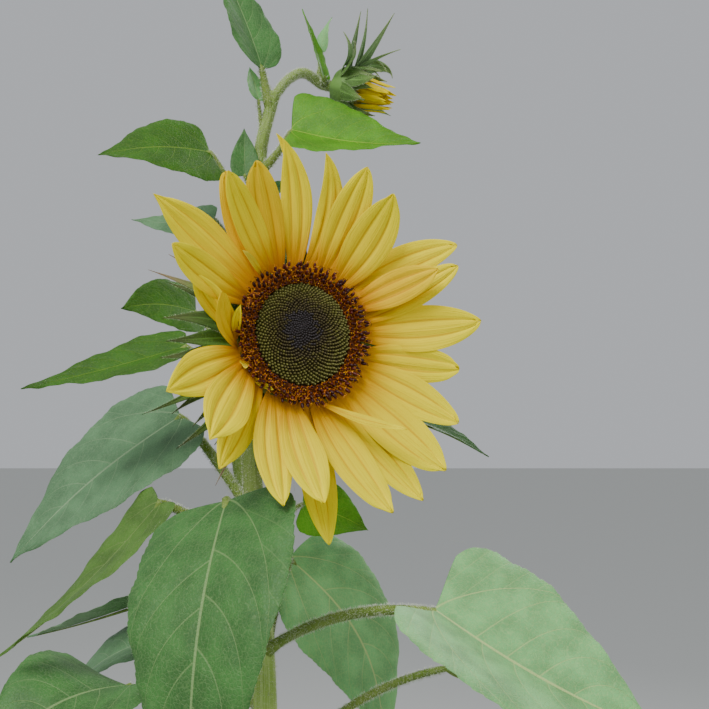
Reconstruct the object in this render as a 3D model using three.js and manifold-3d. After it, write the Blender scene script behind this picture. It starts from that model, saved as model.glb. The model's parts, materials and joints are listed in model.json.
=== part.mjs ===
// A sunflower plant: one leaning main stem with an open head, a side branch with a half-open bud,
// and heart-shaped leaves on long petioles, from the flat cut at ground level to the topmost leaf.
//
// Millimetres and degrees, +Z up. The origin is the centre of the stem's flat cut. The open head
// faces -Y and a little to +X. Every leaf, floret and bract grows by one rule from a few sizes:
// it leaves its carrier at a heading, its spine bends as it goes, and its width follows an outline.
import * as THREE from "three";
import { mergeVertices } from "three/addons/utils/BufferGeometryUtils.js";
import Module from "manifold-3d";

const { abs, cos, exp, max, min, sin, PI } = Math;
const wasm = await Module();
wasm.setup();

const GAP = 0.3;

// Main stem
const FOOT_RADIUS = 15;
const NECK_RADIUS = 5.5;
const FLARE = 3;
const FLARE_HEIGHT = 25;
const NECK_HEIGHT = 1440;
const STEM_TAPER = 1.5;
const STEM_SIDES = 10;
const BRANCH_SIDES = 8;
const STALK_SIDES = 6;

// Open head: the centre of its disc, where it faces, and its parts along its own axis
const HEAD = { at: [34, -60, 1452], yaw: 28, pitch: 8 };
const HEAD_BACK_DEPTH = 30;
const DISC_RADIUS = 31;
const RING_RADIUS = 39.5;
const FLORET_FLOOR = -3.2;
const RING_TOP = 3;
const RAY_BASE = 42;
const RAY_LEVEL = -2.2;

// Side branch, bud stalk and bud
const BRANCH_RADIUS = [5.8, 4.3];
const STALK_RADIUS = [3.2, 3.8];
const BUD = { at: [63, 95, 1639], yaw: 75, pitch: -16 };
const BUD_RADIUS = 18;
const BUD_DEPTH = 17;
const BUD_RAYS = 9;
const SHORT_BRACTS = 6;
const BUD_RAY_BASE = 14.5;

// Leaves
const LEAF_THICKNESS = 1 / 70;
const LEAF_BELLY = 0.25;
const LOWER_LEAVES = 13;
const LOWER_FIRST = 190;
const LOWER_SPACING = 70;
const GOLDEN_ANGLE = 137.5;
const PETIOLE_STEPS = 4;
const PETIOLE_SIDES = 5;

// Short steps of a blade's spine to each of its rows
const FINE = 4;

const LEAF_GREEN = 0x6f9a62;
const STEM_GREEN = 0x8fa660;
const RAY_YELLOW = 0xf2cf10;
const DISC_GREEN = 0x554725;
const ANTHER_BROWN = 0x5a3010;

// Small maths

const rad = (degrees) => (degrees * PI) / 180;
const mix = (a, b, t) => a + (b - a) * t;
const smooth = (t) => t * t * (3 - 2 * t);
const vector = (xyz) => new THREE.Vector3(...xyz);
const range = (n) => Array.from({ length: n }, (_, i) => i);

// A unit vector: `around` turns from +X towards +Y, `rise` lifts it from the level.
function heading(around, rise) {
  const level = cos(rad(rise));
  return new THREE.Vector3(cos(rad(around)) * level, sin(rad(around)) * level, sin(rad(rise)));
}

// Points on one smooth curve through the given ones.
function route(points, steps) {
  const curve = new THREE.CatmullRomCurve3(points.map(vector), false, "catmullrom", 0.5);
  return curve.getPoints(steps * (points.length - 1));
}

function atHeight(path, height) {
  const i = path.findIndex((p, k) => p.z <= height && height <= path[k + 1].z);
  const t = (height - path[i].z) / (path[i + 1].z - path[i].z);
  return path[i].clone().lerp(path[i + 1], t);
}

// Solids

// A closed solid from a simple one, once each of its vertices has been moved.
function shaped(geometry, move) {
  const position = geometry.attributes.position;
  const v = new THREE.Vector3();
  for (const i of range(position.count)) {
    position.setXYZ(i, ...move(v.fromBufferAttribute(position, i)).toArray());
  }
  geometry.deleteAttribute("normal");
  geometry.deleteAttribute("uv");
  const merged = mergeVertices(geometry, 1e-3);
  return new wasm.Manifold(
    new wasm.Mesh({
      numProp: 3,
      vertProperties: new Float32Array(merged.attributes.position.array),
      triVerts: new Uint32Array(merged.index.array),
    }),
  );
}

function fused(solids) {
  return solids.reduce((whole, piece) => whole.add(piece));
}

// A round limb along a path: a cylinder whose rings are carried along without twisting.
function limb(path, radiusAt, sides) {
  const steps = path.length - 1;
  const frames = [];
  let across = new THREE.Vector3(1, 0, 0);
  path.forEach((centre, i) => {
    const along = path[min(i + 1, steps)].clone().sub(path[max(i - 1, 0)]).normalize();
    across = across.clone().addScaledVector(along, -across.dot(along));
    if (across.lengthSq() < 1e-2) across = new THREE.Vector3(0, 1, 0).cross(along);
    across.normalize();
    const other = across.clone().cross(along);
    frames.push({ centre, across, other, radius: radiusAt(i / steps, centre) });
  });
  return shaped(new THREE.CylinderGeometry(1, 1, 1, sides, steps), (v) => {
    const { centre, across, other, radius } = frames[Math.round((v.y + 0.5) * steps)];
    return centre
      .clone()
      .addScaledVector(across, v.x * radius)
      .addScaledVector(other, v.z * radius);
  });
}

// A solid turned about the local Z axis, from a profile of [radius, height] that starts and ends on it.
function turned(profile, segments) {
  const outline = profile.map(([radius, height]) => new THREE.Vector2(radius, height));
  return shaped(new THREE.LatheGeometry(outline, segments), (v) => new THREE.Vector3(v.x, -v.z, v.y));
}

// Thin blades: a leaf, a ray floret or a bract

// The direction, right side and upper side of a blade at t along it.
function bladeFrame(blade, t) {
  const around = mix(...blade.face, t);
  const along = heading(around, mix(...blade.droop, smooth(t)));
  const level = heading(around - 90, 0);
  const over = level.clone().cross(along);
  const roll = rad(mix(...blade.roll, t));
  return {
    along,
    side: level.clone().multiplyScalar(cos(roll)).addScaledVector(over, sin(roll)),
    up: over.multiplyScalar(cos(roll)).addScaledVector(level, -sin(roll)),
  };
}

// The blade's spine, with FINE short steps to each of its rows.
function spine(blade, start) {
  const steps = blade.rows * FINE;
  const points = [start.clone()];
  for (const i of range(steps)) {
    const { along } = bladeFrame(blade, (i + 0.5) / steps);
    points.push(points[i].clone().addScaledVector(along, blade.size[0] / steps));
  }
  return points;
}

// A box whose length follows the spine, and whose width follows the outline.
function bladeSolid(blade, points) {
  const [length, width] = blade.size;
  const fold = rad(blade.fold);
  const box = new THREE.BoxGeometry(2, 1, 1, blade.columns, 1, blade.rows);
  return shaped(box, (v) => {
    const t = 0.5 - v.z;
    const q = abs(v.x);
    const { along, side, up } = bladeFrame(blade, t);
    const half = (width / 2) * blade.outline(t);
    const lobe = (blade.lobe * q ** 1.4 - (blade.skew ?? 0) * v.x) * length * (1 - t) ** 2;
    return points[Math.round(t * blade.rows) * FINE]
      .clone()
      .addScaledVector(side, half * v.x * cos(fold))
      .addScaledVector(up, half * q * sin(fold) + v.y * blade.thickness)
      .addScaledVector(along, -lobe);
  });
}

// Widest a quarter of the way along, then drawn out to a point.
function leafOutline(base) {
  return (t) =>
    t < LEAF_BELLY
      ? 1 - (1 - base) * ((LEAF_BELLY - t) / LEAF_BELLY) ** 2
      : max(0.03, cos((PI / 2) * ((t - LEAF_BELLY) / (1 - LEAF_BELLY))) ** 1.2);
}

// Widest half way along, with a blunt tip.
function rayOutline(t) {
  return t < 0.5 ? 0.46 + 0.54 * sin(PI * t) : max(0.06, cos(PI * (t - 0.5))) ** 0.62;
}

// Broad at the foot, then drawn out to a long thin tip.
function bractOutline(t) {
  return max(0.08, (1 - t) ** 0.9);
}

// Leaves

const LEAF_DEFAULTS = { fold: 10, lobe: 0.1, base: 0.6, roll: [0, 0], rows: 5, columns: 4 };

const SMALL = { rows: 4, columns: 2 };

// `petiole` is its length, then its rise where it leaves the stem and where it meets the blade.
function leafSolid(leaf, root) {
  const [stalk, rise, fall] = leaf.petiole;
  const blade = {
    ...LEAF_DEFAULTS,
    ...leaf,
    outline: leafOutline(leaf.base ?? LEAF_DEFAULTS.base),
    thickness: max(leaf.size[0] * LEAF_THICKNESS, 0.9),
  };
  const path = [root.clone()];
  for (const i of range(PETIOLE_STEPS)) {
    const way = heading(leaf.around, mix(rise, fall, (i + 0.5) / PETIOLE_STEPS));
    path.push(path[i].clone().addScaledVector(way, stalk / PETIOLE_STEPS));
  }
  const points = spine(blade, path[PETIOLE_STEPS]);
  const thick = min(3.2, 0.7 + leaf.size[0] * 0.014);
  const thin = blade.thickness * 0.45;
  const stalkSolid = limb([...path, points[FINE]], (t) => mix(thick, thin, t ** 1.5), PETIOLE_SIDES);
  return stalkSolid.add(bladeSolid(blade, points));
}

// The way a flower faces: `yaw` turns it from -Y towards +X.
const facingWay = ({ yaw, pitch }) => heading(yaw - 90, pitch);

// The place on a flower's axis at a distance behind it
function behind(flower, distance) {
  return vector(flower.at).addScaledVector(facingWay(flower), -distance).toArray();
}

const mainStem = route(
  [
    [0, 0, -60],
    [0, 0, 0],
    [3, 0, 500],
    [6, 0, 1000],
    [6, 0, 1210],
    [-3, 0, 1370],
    [-4, 6, 1418],
    behind(HEAD, HEAD_BACK_DEPTH + 28),
    behind(HEAD, HEAD_BACK_DEPTH + 2 * GAP),
  ],
  4,
);
const branch = route(
  [
    [5, 3, 1268],
    [-4, 22, 1320],
    [-16, 40, 1373],
    [-19, 62, 1470],
    [-6, 80, 1576],
    [-3, 80, 1599],
    [6, 80, 1634],
  ],
  4,
);
const stalk = route(
  [
    [4, 80, 1628],
    [15, 84, 1644],
    [27, 93, 1652],
    behind(BUD, BUD_DEPTH + 8),
    behind(BUD, BUD_DEPTH + 2 * GAP),
  ],
  4,
);

const stemRadius = (t, centre) =>
  FOOT_RADIUS -
  (FOOT_RADIUS - NECK_RADIUS) * min(1, max(0, centre.z) / NECK_HEIGHT) ** STEM_TAPER +
  FLARE * exp(-centre.z / FLARE_HEIGHT);

const LEAVES = {
  leaf_front: {
    on: mainStem, height: 1256, around: -104, petiole: [116, 53, 60],
    size: [202, 104], face: [-95, -100], droop: [-33, -100], roll: [-21, -16],
    fold: 3, lobe: 0.04,
  },
  leaf_behind_centre: {
    on: mainStem, height: 1242, around: 69, petiole: [69, 64, 44],
    size: [167, 91], face: [6, 22], droop: [-42, -88], roll: [-46, -66],
    fold: 3, lobe: 0.0,
  },
  leaf_right_front: {
    on: mainStem, height: 1243, around: -40, petiole: [148, 36, 4],
    size: [141, 129], face: [-34, -8], droop: [-27, -19], roll: [-6, -35],
    fold: 22, lobe: 0.16, skew: 0.05,
  },
  leaf_right_low: {
    on: mainStem, height: 1147, around: -15, petiole: [158, 62, 15],
    size: [110, 88], face: [-7, -3], droop: [-24, -50], roll: [14, -7],
    fold: 8, lobe: 0.09,
  },
  leaf_left_narrow: {
    on: mainStem, height: 1389, around: -149, petiole: [72, 63, 40],
    size: [108, 45], face: [-173, -182], droop: [-17, -12], roll: [33, 29],
    fold: 14, lobe: 0.07, base: 0.4,
  },
  leaf_left_broad: {
    on: mainStem, height: 1330, around: 144, petiole: [96, 50, 38],
    size: [151, 103], face: [197, 185], droop: [-33, -48], roll: [28, 37],
    fold: 8, lobe: 0.11,
  },
  leaf_left_folded: {
    on: mainStem, height: 1307, around: -159, petiole: [75, 38, 25],
    size: [135, 49], face: [-156, -175], droop: [-49, -37], roll: [20, -4],
    fold: 8, lobe: 0.1,
  },
  leaf_left_low: {
    on: mainStem, height: 1166, around: -162, petiole: [110, 47, 25],
    size: [101, 105], face: [-139, -168], droop: [6, -52], roll: [-13, 64],
    fold: 9, lobe: 0.02,
  },
  leaf_left_thin: {
    on: mainStem, height: 1256, around: 146, petiole: [107, 12, -5],
    size: [100, 50], face: [169, 167], droop: [-21, -16], roll: [-10, 0],
    fold: 20, lobe: 0.1,
  },
  leaf_left_shaded: {
    on: mainStem, height: 1204, around: 154, petiole: [93, 29, 20],
    size: [110, 79], face: [171, 172], droop: [-18, -60], roll: [11, 10],
    fold: 10, lobe: 0.1,
  },
  leaf_left_upper: {
    on: mainStem, height: 1407, around: 150, petiole: [77, 63, 45],
    size: [56, 53], face: [-144, -141], droop: [14, -12], roll: [42, 54],
    fold: 7, lobe: 0.1,
  },
  leaf_right_upper: {
    on: mainStem, height: 1394, around: 22, petiole: [101, 11, -5],
    size: [76, 34], face: [-8, -8], droop: [-16, -31], roll: [-15, -10],
    fold: 20, lobe: 0.1,
  },
  leaf_under_head: {
    on: mainStem, height: 1318, around: 50, petiole: [48, 30, 15],
    size: [50, 46], face: [5, 5], droop: [-15, -30], roll: [-60, -50],
  },
  branch_leaf_left: {
    on: branch, height: 1535, around: -153, petiole: [59, 66, 52],
    size: [84, 68], face: [-138, -157], droop: [1, -16], roll: [53, 32],
    fold: 3, lobe: 0.06,
  },
  branch_leaf_right: {
    on: branch, height: 1574, around: -23, petiole: [40, 35, 58],
    size: [98, 74], face: [-14, -19], droop: [-17, 0], roll: [-46, -34],
    fold: 22, lobe: 0.07, base: 0.95, skew: 0.11,
  },
  branch_leaf_top: {
    on: branch, height: 1622, around: -146, petiole: [29, 73, 78],
    size: [116, 45], face: [129, 135], droop: [62, 56], roll: [1, 1],
    fold: 18, lobe: 0.02, base: 0.35,
  },
  branch_leaf_behind: {
    on: branch, height: 1501, around: 128, petiole: [58, 56, 36],
    size: [64, 33], face: [178, 180], droop: [-8, 8], roll: [54, 40],
    fold: 7, lobe: 0.1,
  },
  branch_leaflet_high: {
    on: branch, height: 1603, around: -149, petiole: [25, 74, 86],
    size: [28, 22], face: [140, 138], droop: [71, 68], roll: [-3, 4],
    fold: 16, lobe: 0.1, base: 0.35, ...SMALL,
  },
  branch_leaflet_left: {
    on: branch, height: 1559, around: -136, petiole: [15, 42, 61],
    size: [38, 22], face: [101, 100], droop: [72, 80], roll: [6, 2],
    fold: 15, lobe: 0.1, base: 0.35, ...SMALL,
  },
  branch_leaflet_right: {
    on: branch, height: 1548, around: 48, petiole: [19, 50, 40],
    size: [34, 16], face: [31, 31], droop: [20, 0], roll: [-40, -40], fold: 15, base: 0.35, ...SMALL,
  },
};

// Below the part that shows, leaves follow each other round the stem by the golden angle,
// longest half way up, and the oldest hang lowest.
for (const i of range(LOWER_LEAVES)) {
  const height = LOWER_FIRST + i * LOWER_SPACING;
  const share = sin((PI * (height + 150)) / 1500);
  const length = mix(150, 240, share);
  const around = (i * GOLDEN_ANGLE) % 360;
  LEAVES["stem_leaf_" + String(i + 1).padStart(2, "0")] = {
    on: mainStem, height, around, petiole: [mix(70, 135, share), 48, 12],
    size: [length, length * 0.8], face: [around, around + 8],
    droop: [mix(-22, -8, i / LOWER_LEAVES), mix(-66, -46, i / LOWER_LEAVES)], fold: 6, lobe: 0.14,
  };
}

// Open head, in its own frame: X to its right, Y up its face, Z out along its axis

// Where it leaves the disc round its edge, length, width, lift off the disc, turn from straight out,
// bend in its own plane, and roll: the ray florets as they stand, clockwise from the top
const RAYS = [
  [90, 84, 13, 6, 2, 30, 20],
  [93, 77, 21, 12, 0, 22, 0],
  [80, 74, 18, 17, 0, 45, 0],
  [66, 71, 26, 21, 4, 10, 0],
  [50, 66, 30, 25, 10, 20, 0],
  [39, 80, 24, 14, -15, -10, 10],
  [26, 57, 22, 32, -3, 0, 10],
  [14, 73, 20, 21, 14, 10, 10],
  [3, 77, 30, 20, -2, 0, 0],
  [-18, 65, 24, 16, 8, 0, -10],
  [-29, 72, 26, 17, -4, -10, 0],
  [-46, 80, 32, 18, -2, 0, 0],
  [-64, 83, 24, 17, 8, 0, 0],
  [-78, 58, 9, 42, 50, 30, 30],
  [-80, 80, 26, 19, 16, 10, 0],
  [-88, 84, 24, 4, 2, 0, 0],
  [-104, 67, 27, 26, 18, 10, 0],
  [-120, 69, 24, 20, 24, 20, 0],
  [-138, 58, 22, 9, 18, -10, 0],
  [-151, 60, 30, 26, 22, 0, 0],
  [-162, 60, 27, 20, 5, 10, 0],
  [-172, 38, 18, 34, -68, -42, -30],
  [176, 42, 16, 14, -44, 0, 40],
  [149, 60, 22, 22, 4, -10, 0],
  [136, 80, 26, 11, 7, 10, 0],
  [126, 66, 22, 6, -17, 0, 0],
  [115, 68, 20, 24, 9, 0, 0],
  [109, 67, 24, 20, -1, 0, 0],
];

function raySolid([around, length, width, lift, turn, bend, roll]) {
  const way = around + turn;
  const ray = {
    size: [length, width],
    face: [way - bend / 2, way + bend / 2],
    droop: [lift - 5, lift + 5],
    roll: [roll, roll],
    fold: 8,
    lobe: 0,
    outline: rayOutline,
    thickness: max(1, length / 70),
    rows: 4,
    columns: 2,
  };
  const start = heading(around, 0).multiplyScalar(RAY_BASE).setZ(RAY_LEVEL);
  return bladeSolid(ray, spine(ray, start));
}

function rayFlorets() {
  const [inner, outer] = [RAY_BASE - 1.5, RAY_BASE + 2];
  const [low, high] = [RAY_LEVEL - 0.9, RAY_LEVEL + 0.9];
  const collar = turned([[inner, low], [outer, low], [outer, high], [inner, high], [inner, low]], 24);
  return fused([collar, ...RAYS.map(raySolid)]);
}

function discFlorets() {
  const rim = DISC_RADIUS;
  return turned([[0, FLORET_FLOOR], [rim, FLORET_FLOOR], [rim, 2.5], [rim * 0.6, 4], [0, 4.5]], 30);
}

// A pointed floret from one place in the head's frame to another.
function spike(from, to, radius, sides) {
  return limb([vector(from), vector(to)], (t) => mix(radius, radius * 0.3, t), sides);
}

function antherRing() {
  const inner = DISC_RADIUS + GAP;
  const outer = RING_RADIUS;
  const wall = [[inner, FLORET_FLOOR], [outer, FLORET_FLOOR], [outer, RING_TOP - 2]];
  const top = [[outer - 2, RING_TOP], [inner, RING_TOP], [inner, FLORET_FLOOR]];
  const bed = turned([...wall, ...top], 28);
  const rows = [
    { count: 18, radius: 34, lean: 0.5, height: 8 },
    { count: 24, radius: 38, lean: 5, height: 9 },
  ];
  const florets = rows.flatMap(({ count, radius, lean, height }, row) =>
    range(count).map((i) => {
      const way = heading(((i + row / 2) * 360) / count, 0);
      const foot = way.clone().multiplyScalar(radius).setZ(RING_TOP - 1.5);
      const tip = way.clone().multiplyScalar(radius + lean).setZ(height);
      return spike(foot.toArray(), tip.toArray(), 2.2, 4);
    }),
  );
  return fused([bed, ...florets]);
}

const BRACT_ROWS = [
  { count: 13, radius: 35, level: -8, length: 50, width: 17, droop: [10, -12] },
  { count: 11, radius: 30, level: -11, length: 54, width: 16, droop: [-8, -30] },
];

function bractSolid({ radius, level, length, width, droop }, around, bend) {
  const bract = {
    size: [length, width],
    face: [around - bend, around + bend],
    droop,
    roll: [0, 0],
    fold: 14,
    lobe: 0,
    outline: bractOutline,
    thickness: 1,
    rows: 3,
    columns: 2,
  };
  const start = heading(around, 0).multiplyScalar(radius).setZ(level);
  return bladeSolid(bract, spine(bract, start));
}

function headBack() {
  const back = -HEAD_BACK_DEPTH;
  const top = FLORET_FLOOR - GAP;
  const rim = RING_RADIUS - 1;
  const cone = [[0, back], [6, back], [9, back + 3], [17, back + 10], [33, -11]];
  const profile = [...cone, [rim, -7], [rim, top], [0, top]];
  const bracts = BRACT_ROWS.flatMap((row, k) =>
    range(row.count).map((i) => {
      const around = ((i + k * 0.5) * 360) / row.count + 7;
      return bractSolid(row, around, 12 * sin(i * 2.4));
    }),
  );
  return fused([turned(profile, 20), ...bracts]);
}

// Bud, in its own frame, with Z along its axis

// Where each long bract leaves the cup round its edge, its length, width and rise at both ends
const BUD_BRACTS = [
  [95, 46, 14, 11, -11],
  [74, 51, 12, 33, 17],
  [122, 42, 11, 53, 39],
  [166, 38, 12, 78, 42],
  [32, 42, 11, 56, 34],
  [60, 39, 13, 70, 106],
  [102, 33, 10, 75, 108],
  [-12, 34, 11, 72, 60],
  [-80, 30, 11, 76, 64],
  [-130, 30, 11, 78, 60],
];

function budBody() {
  const r = BUD_RADIUS;
  const cup = [[0, -BUD_DEPTH], [4, -BUD_DEPTH], [r * 0.7, -13], [r, -4]];
  const profile = [...cup, [r, 2], [r * 0.85, 6], [0, 6]];
  const short = range(SHORT_BRACTS).map((i) => {
    const bract = { radius: 12, level: -12, length: 32, width: 19, droop: [55, 95] };
    return bractSolid(bract, ((i + 0.4) * 360) / SHORT_BRACTS, 8 * sin(i * 2.4));
  });
  const long = BUD_BRACTS.map(([around, length, width, ...droop]) =>
    bractSolid({ radius: r - 1, level: -5, length, width, droop }, around, 0),
  );
  return fused([turned(profile, 12), ...short, ...long]);
}

function budRays() {
  const [inner, outer] = [BUD_RAY_BASE - 2, BUD_RAY_BASE + 1];
  const collar = turned([[inner, 6.3], [outer, 6.3], [outer, 9], [inner, 9], [inner, 6.3]], 14);
  const rays = range(BUD_RAYS).map((i) => {
    const around = (i * 360) / BUD_RAYS;
    const ray = {
      size: [26 + 2 * sin(i * 2.4), 6],
      face: [around, around],
      droop: [99, 103 + 4 * sin(i * 1.7)],
      roll: [0, 0],
      fold: 10,
      lobe: 0,
      outline: rayOutline,
      thickness: 1,
      rows: 2,
      columns: 2,
    };
    return bladeSolid(ray, spine(ray, heading(around, 0).multiplyScalar(BUD_RAY_BASE - 0.5).setZ(7.5)));
  });
  return fused([collar, ...rays]);
}

const BUD_LEAVES = {
  bud_leaf_long: {
    step: 13, around: -90, petiole: [9, 0, 40], size: [58, 16], face: [150, 160], droop: [72, 70],
    fold: 18, base: 0.35, ...SMALL,
  },
  bud_leaf_pale: {
    step: 11, around: 70, petiole: [26, 60, 85], size: [31, 15], face: [60, 20], droop: [80, 60],
    fold: 12, base: 0.35, ...SMALL,
  },
};

// Scene graph

function mesh(name, solid, colour, roughness, at = new THREE.Vector3()) {
  const made = solid.getMesh();
  const geometry = new THREE.BufferGeometry();
  geometry.setAttribute("position", new THREE.BufferAttribute(made.vertProperties, 3));
  geometry.setIndex(new THREE.BufferAttribute(made.triVerts, 1));
  geometry.translate(-at.x, -at.y, -at.z);
  geometry.computeVertexNormals();
  const material = new THREE.MeshStandardMaterial({ color: colour, roughness, metalness: 0 });
  const piece = new THREE.Mesh(geometry, material);
  piece.name = name;
  piece.position.copy(at);
  return piece;
}

// A flower's own frame: its X is level, and its Z is the way it faces.
function flowerGroup(flower) {
  const group = new THREE.Group();
  const out = facingWay(flower);
  const right = heading(flower.yaw, 0);
  group.position.set(...flower.at);
  const up = out.clone().cross(right);
  group.quaternion.setFromRotationMatrix(new THREE.Matrix4().makeBasis(right, up, out));
  return group;
}

const plant = new THREE.Group();

const below = shaped(new THREE.BoxGeometry(200, 200, 200), (v) => v.setZ(v.z - 100));
const grown = (radiusAt) => (t, centre) => radiusAt(t, centre) + GAP;
const branchRadius = (t) => mix(...BRANCH_RADIUS, t);
const stalkRadius = (t) => mix(...STALK_RADIUS, t);
const stemSpace = limb(mainStem, grown(stemRadius), STEM_SIDES);
const branchSpace = limb(branch, grown(branchRadius), BRANCH_SIDES);
const stalkSpace = limb(stalk, grown(stalkRadius), STALK_SIDES);

const stemSolid = limb(mainStem, stemRadius, STEM_SIDES).subtract(below);
const branchSolid = limb(branch, branchRadius, BRANCH_SIDES).subtract(stemSpace);
const stalkSolid = limb(stalk, stalkRadius, STALK_SIDES).subtract(branchSpace);
plant.add(mesh("main_stem", stemSolid, STEM_GREEN, 0.7));
plant.add(mesh("side_branch", branchSolid, STEM_GREEN, 0.7, branch[0]));
plant.add(mesh("bud_stalk", stalkSolid, STEM_GREEN, 0.7, stalk[0]));

for (const [name, leaf] of Object.entries(LEAVES)) {
  const root = atHeight(leaf.on, leaf.height);
  const space = leaf.on === mainStem ? stemSpace : branchSpace;
  plant.add(mesh(name, leafSolid(leaf, root).subtract(space), LEAF_GREEN, 0.6, root));
}
for (const [name, leaf] of Object.entries(BUD_LEAVES)) {
  const root = stalk[leaf.step];
  plant.add(mesh(name, leafSolid(leaf, root).subtract(stalkSpace), LEAF_GREEN, 0.6, root));
}

const head = flowerGroup(HEAD);
head.add(mesh("head_back", headBack(), LEAF_GREEN, 0.7));
head.add(mesh("ray_florets", rayFlorets(), RAY_YELLOW, 0.5));
head.add(mesh("anther_ring", antherRing(), ANTHER_BROWN, 0.8));
head.add(mesh("disc_florets", discFlorets(), DISC_GREEN, 0.8));
plant.add(head);

const bud = flowerGroup(BUD);
bud.add(mesh("bud_body", budBody(), LEAF_GREEN, 0.7));
bud.add(mesh("bud_rays", budRays(), RAY_YELLOW, 0.5));
plant.add(bud);

export default plant;
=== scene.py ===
"""A sunflower plant in Blender: its fine stems, leaves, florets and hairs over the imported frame.

Every limb and blade grows by the rule and from the sizes of the part's source, in millimetres and
degrees, and is brought to metres when its mesh is made.
"""

import json
from math import pi, sin, tau

import bmesh
import bpy
import numpy as np
from bpy.props import FloatProperty, FloatVectorProperty, IntProperty, PointerProperty
from mathutils import Matrix, Vector

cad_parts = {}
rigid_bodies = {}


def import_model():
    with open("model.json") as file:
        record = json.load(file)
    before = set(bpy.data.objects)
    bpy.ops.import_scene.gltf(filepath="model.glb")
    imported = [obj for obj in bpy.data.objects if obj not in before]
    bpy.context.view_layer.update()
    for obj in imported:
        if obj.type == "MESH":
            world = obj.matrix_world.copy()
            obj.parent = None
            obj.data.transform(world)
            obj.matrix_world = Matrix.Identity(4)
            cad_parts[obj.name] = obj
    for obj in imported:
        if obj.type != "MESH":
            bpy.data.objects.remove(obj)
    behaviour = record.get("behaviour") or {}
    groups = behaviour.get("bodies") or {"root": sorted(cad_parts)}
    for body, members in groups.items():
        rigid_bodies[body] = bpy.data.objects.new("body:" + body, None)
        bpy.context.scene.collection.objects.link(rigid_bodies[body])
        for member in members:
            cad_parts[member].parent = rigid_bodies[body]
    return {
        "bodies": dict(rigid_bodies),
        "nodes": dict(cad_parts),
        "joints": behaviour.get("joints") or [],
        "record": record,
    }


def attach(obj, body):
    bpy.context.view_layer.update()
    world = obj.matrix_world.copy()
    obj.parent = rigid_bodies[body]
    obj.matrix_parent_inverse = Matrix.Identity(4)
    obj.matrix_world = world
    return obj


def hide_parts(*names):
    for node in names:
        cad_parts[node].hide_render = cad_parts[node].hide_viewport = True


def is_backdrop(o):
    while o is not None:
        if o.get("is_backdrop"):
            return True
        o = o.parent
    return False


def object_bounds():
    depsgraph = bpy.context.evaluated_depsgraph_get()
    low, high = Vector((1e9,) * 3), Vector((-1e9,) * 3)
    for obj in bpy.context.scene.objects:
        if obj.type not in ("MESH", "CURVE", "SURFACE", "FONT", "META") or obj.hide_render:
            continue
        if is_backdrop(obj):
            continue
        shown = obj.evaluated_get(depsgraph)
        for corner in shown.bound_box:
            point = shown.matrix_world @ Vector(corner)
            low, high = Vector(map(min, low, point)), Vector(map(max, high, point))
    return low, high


bl_info = {
    "name": "Sunflower Plant",
    "version": (1, 0, 0),
    "blender": (4, 5, 0),
    "location": "3D View > Sidebar > Sunflower",
    "description": "Grows the fine stems, leaves, florets and hairs of a sunflower plant",
    "category": "Add Mesh",
}

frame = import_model()
CAD_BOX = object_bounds()
MM = 0.001

# The source's sizes

FOOT_RADIUS = 15
NECK_RADIUS = 5.5
FLARE = 3
FLARE_HEIGHT = 25
NECK_HEIGHT = 1440
STEM_TAPER = 1.5
HEAD = {"at": (34, -60, 1452), "yaw": 28, "pitch": 8}
HEAD_BACK_DEPTH = 30
DISC_RADIUS = 31
RING_RADIUS = 39.5
RAY_BASE = 42
RAY_LEVEL = -2.2
BRANCH_RADIUS = (5.8, 4.3)
STALK_RADIUS = (3.2, 3.8)
BUD = {"at": (63, 95, 1639), "yaw": 75, "pitch": -16}
BUD_RADIUS = 18
BUD_DEPTH = 17
BUD_RAYS = 9
BUD_RAY_BASE = 14.5
SHORT_BRACTS = 6
LEAF_BELLY = 0.25
LOWER_LEAVES = 13
LOWER_FIRST = 190
LOWER_SPACING = 70
GOLDEN_ANGLE = 137.5

# Points closer than this, in millimetres, are one, and a share closer than this to 0 or 1 is an end
SEAM = 1e-3
NEAR = 1e-6

# The head: the angle from each of the disc's buds to the next, how far off its middle their spirals
# open, and the share of a petal's half width at which its two grooves run
DISC_ANGLE = 137.508
DISC_EYE = (-1.5, 4.5)
RAY_GROOVE = 0.36

# Rows of open florets in the ring: radius, level, outward lean and size. Those of the rows from
# `RIPE_ROW` on mostly show their styles.
FLORETS_A_ROW = 60
RIPE_ROW = 2
FLORET_ROWS = (
    (32.2, 0.0, 4, 0.62),
    (34.0, 0.35, 14, 0.74),
    (35.9, 0.7, 25, 0.82),
    (37.8, 1.05, 37, 0.84),
    (39.8, 0.7, 50, 0.84),
)

# A leaf's veins: how far along it each reaches at a share of the way out to the margin. A strong pair
# rises from the foot, the others leave the midrib from `FIRST_VEIN` on.
FOOT_VEIN = (0.5, 1.6)
FIRST_VEIN = 0.2
VEIN_PERIOD = 0.142
VEIN_SHIFT = 0.035
VEIN_SLOPE = (0.16, 0.16, 2.0)
OUTER_PERIOD = 0.085
OUTER_SLOPE = 0.24

# Leaves that stand nearest the camera have a finer mesh
NEAREST_LEAVES = ("leaf_front", "leaf_right_front")

# Closed florets in the bud, and hairs on the back of the head
BUD_FLORETS = 190
BACK_HAIRS = 5200

# Hairs to each millimetre of a petiole, a leaf and a bract, and their greatest length
PETIOLE_HAIRS = (11, 2.6)
LEAF_HAIRS = (5, 0.9)
BRACT_HAIRS = (8, 1.3)

# Each group of hairs: its slot, its hairs' radius at the foot and their colour
HAIR_KINDS = {
    "stems": ("stem", 0.18, (224, 230, 202)),
    "petioles": ("leaf", 0.2, (230, 236, 214)),
    "leaves": ("leaf", 0.09, (190, 206, 166)),
    "bracts": ("bract", 0.07, (216, 224, 190)),
}

# No hair grows lower than this, so none reaches under the ground
GROUND_CLEARANCE = 3

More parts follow.
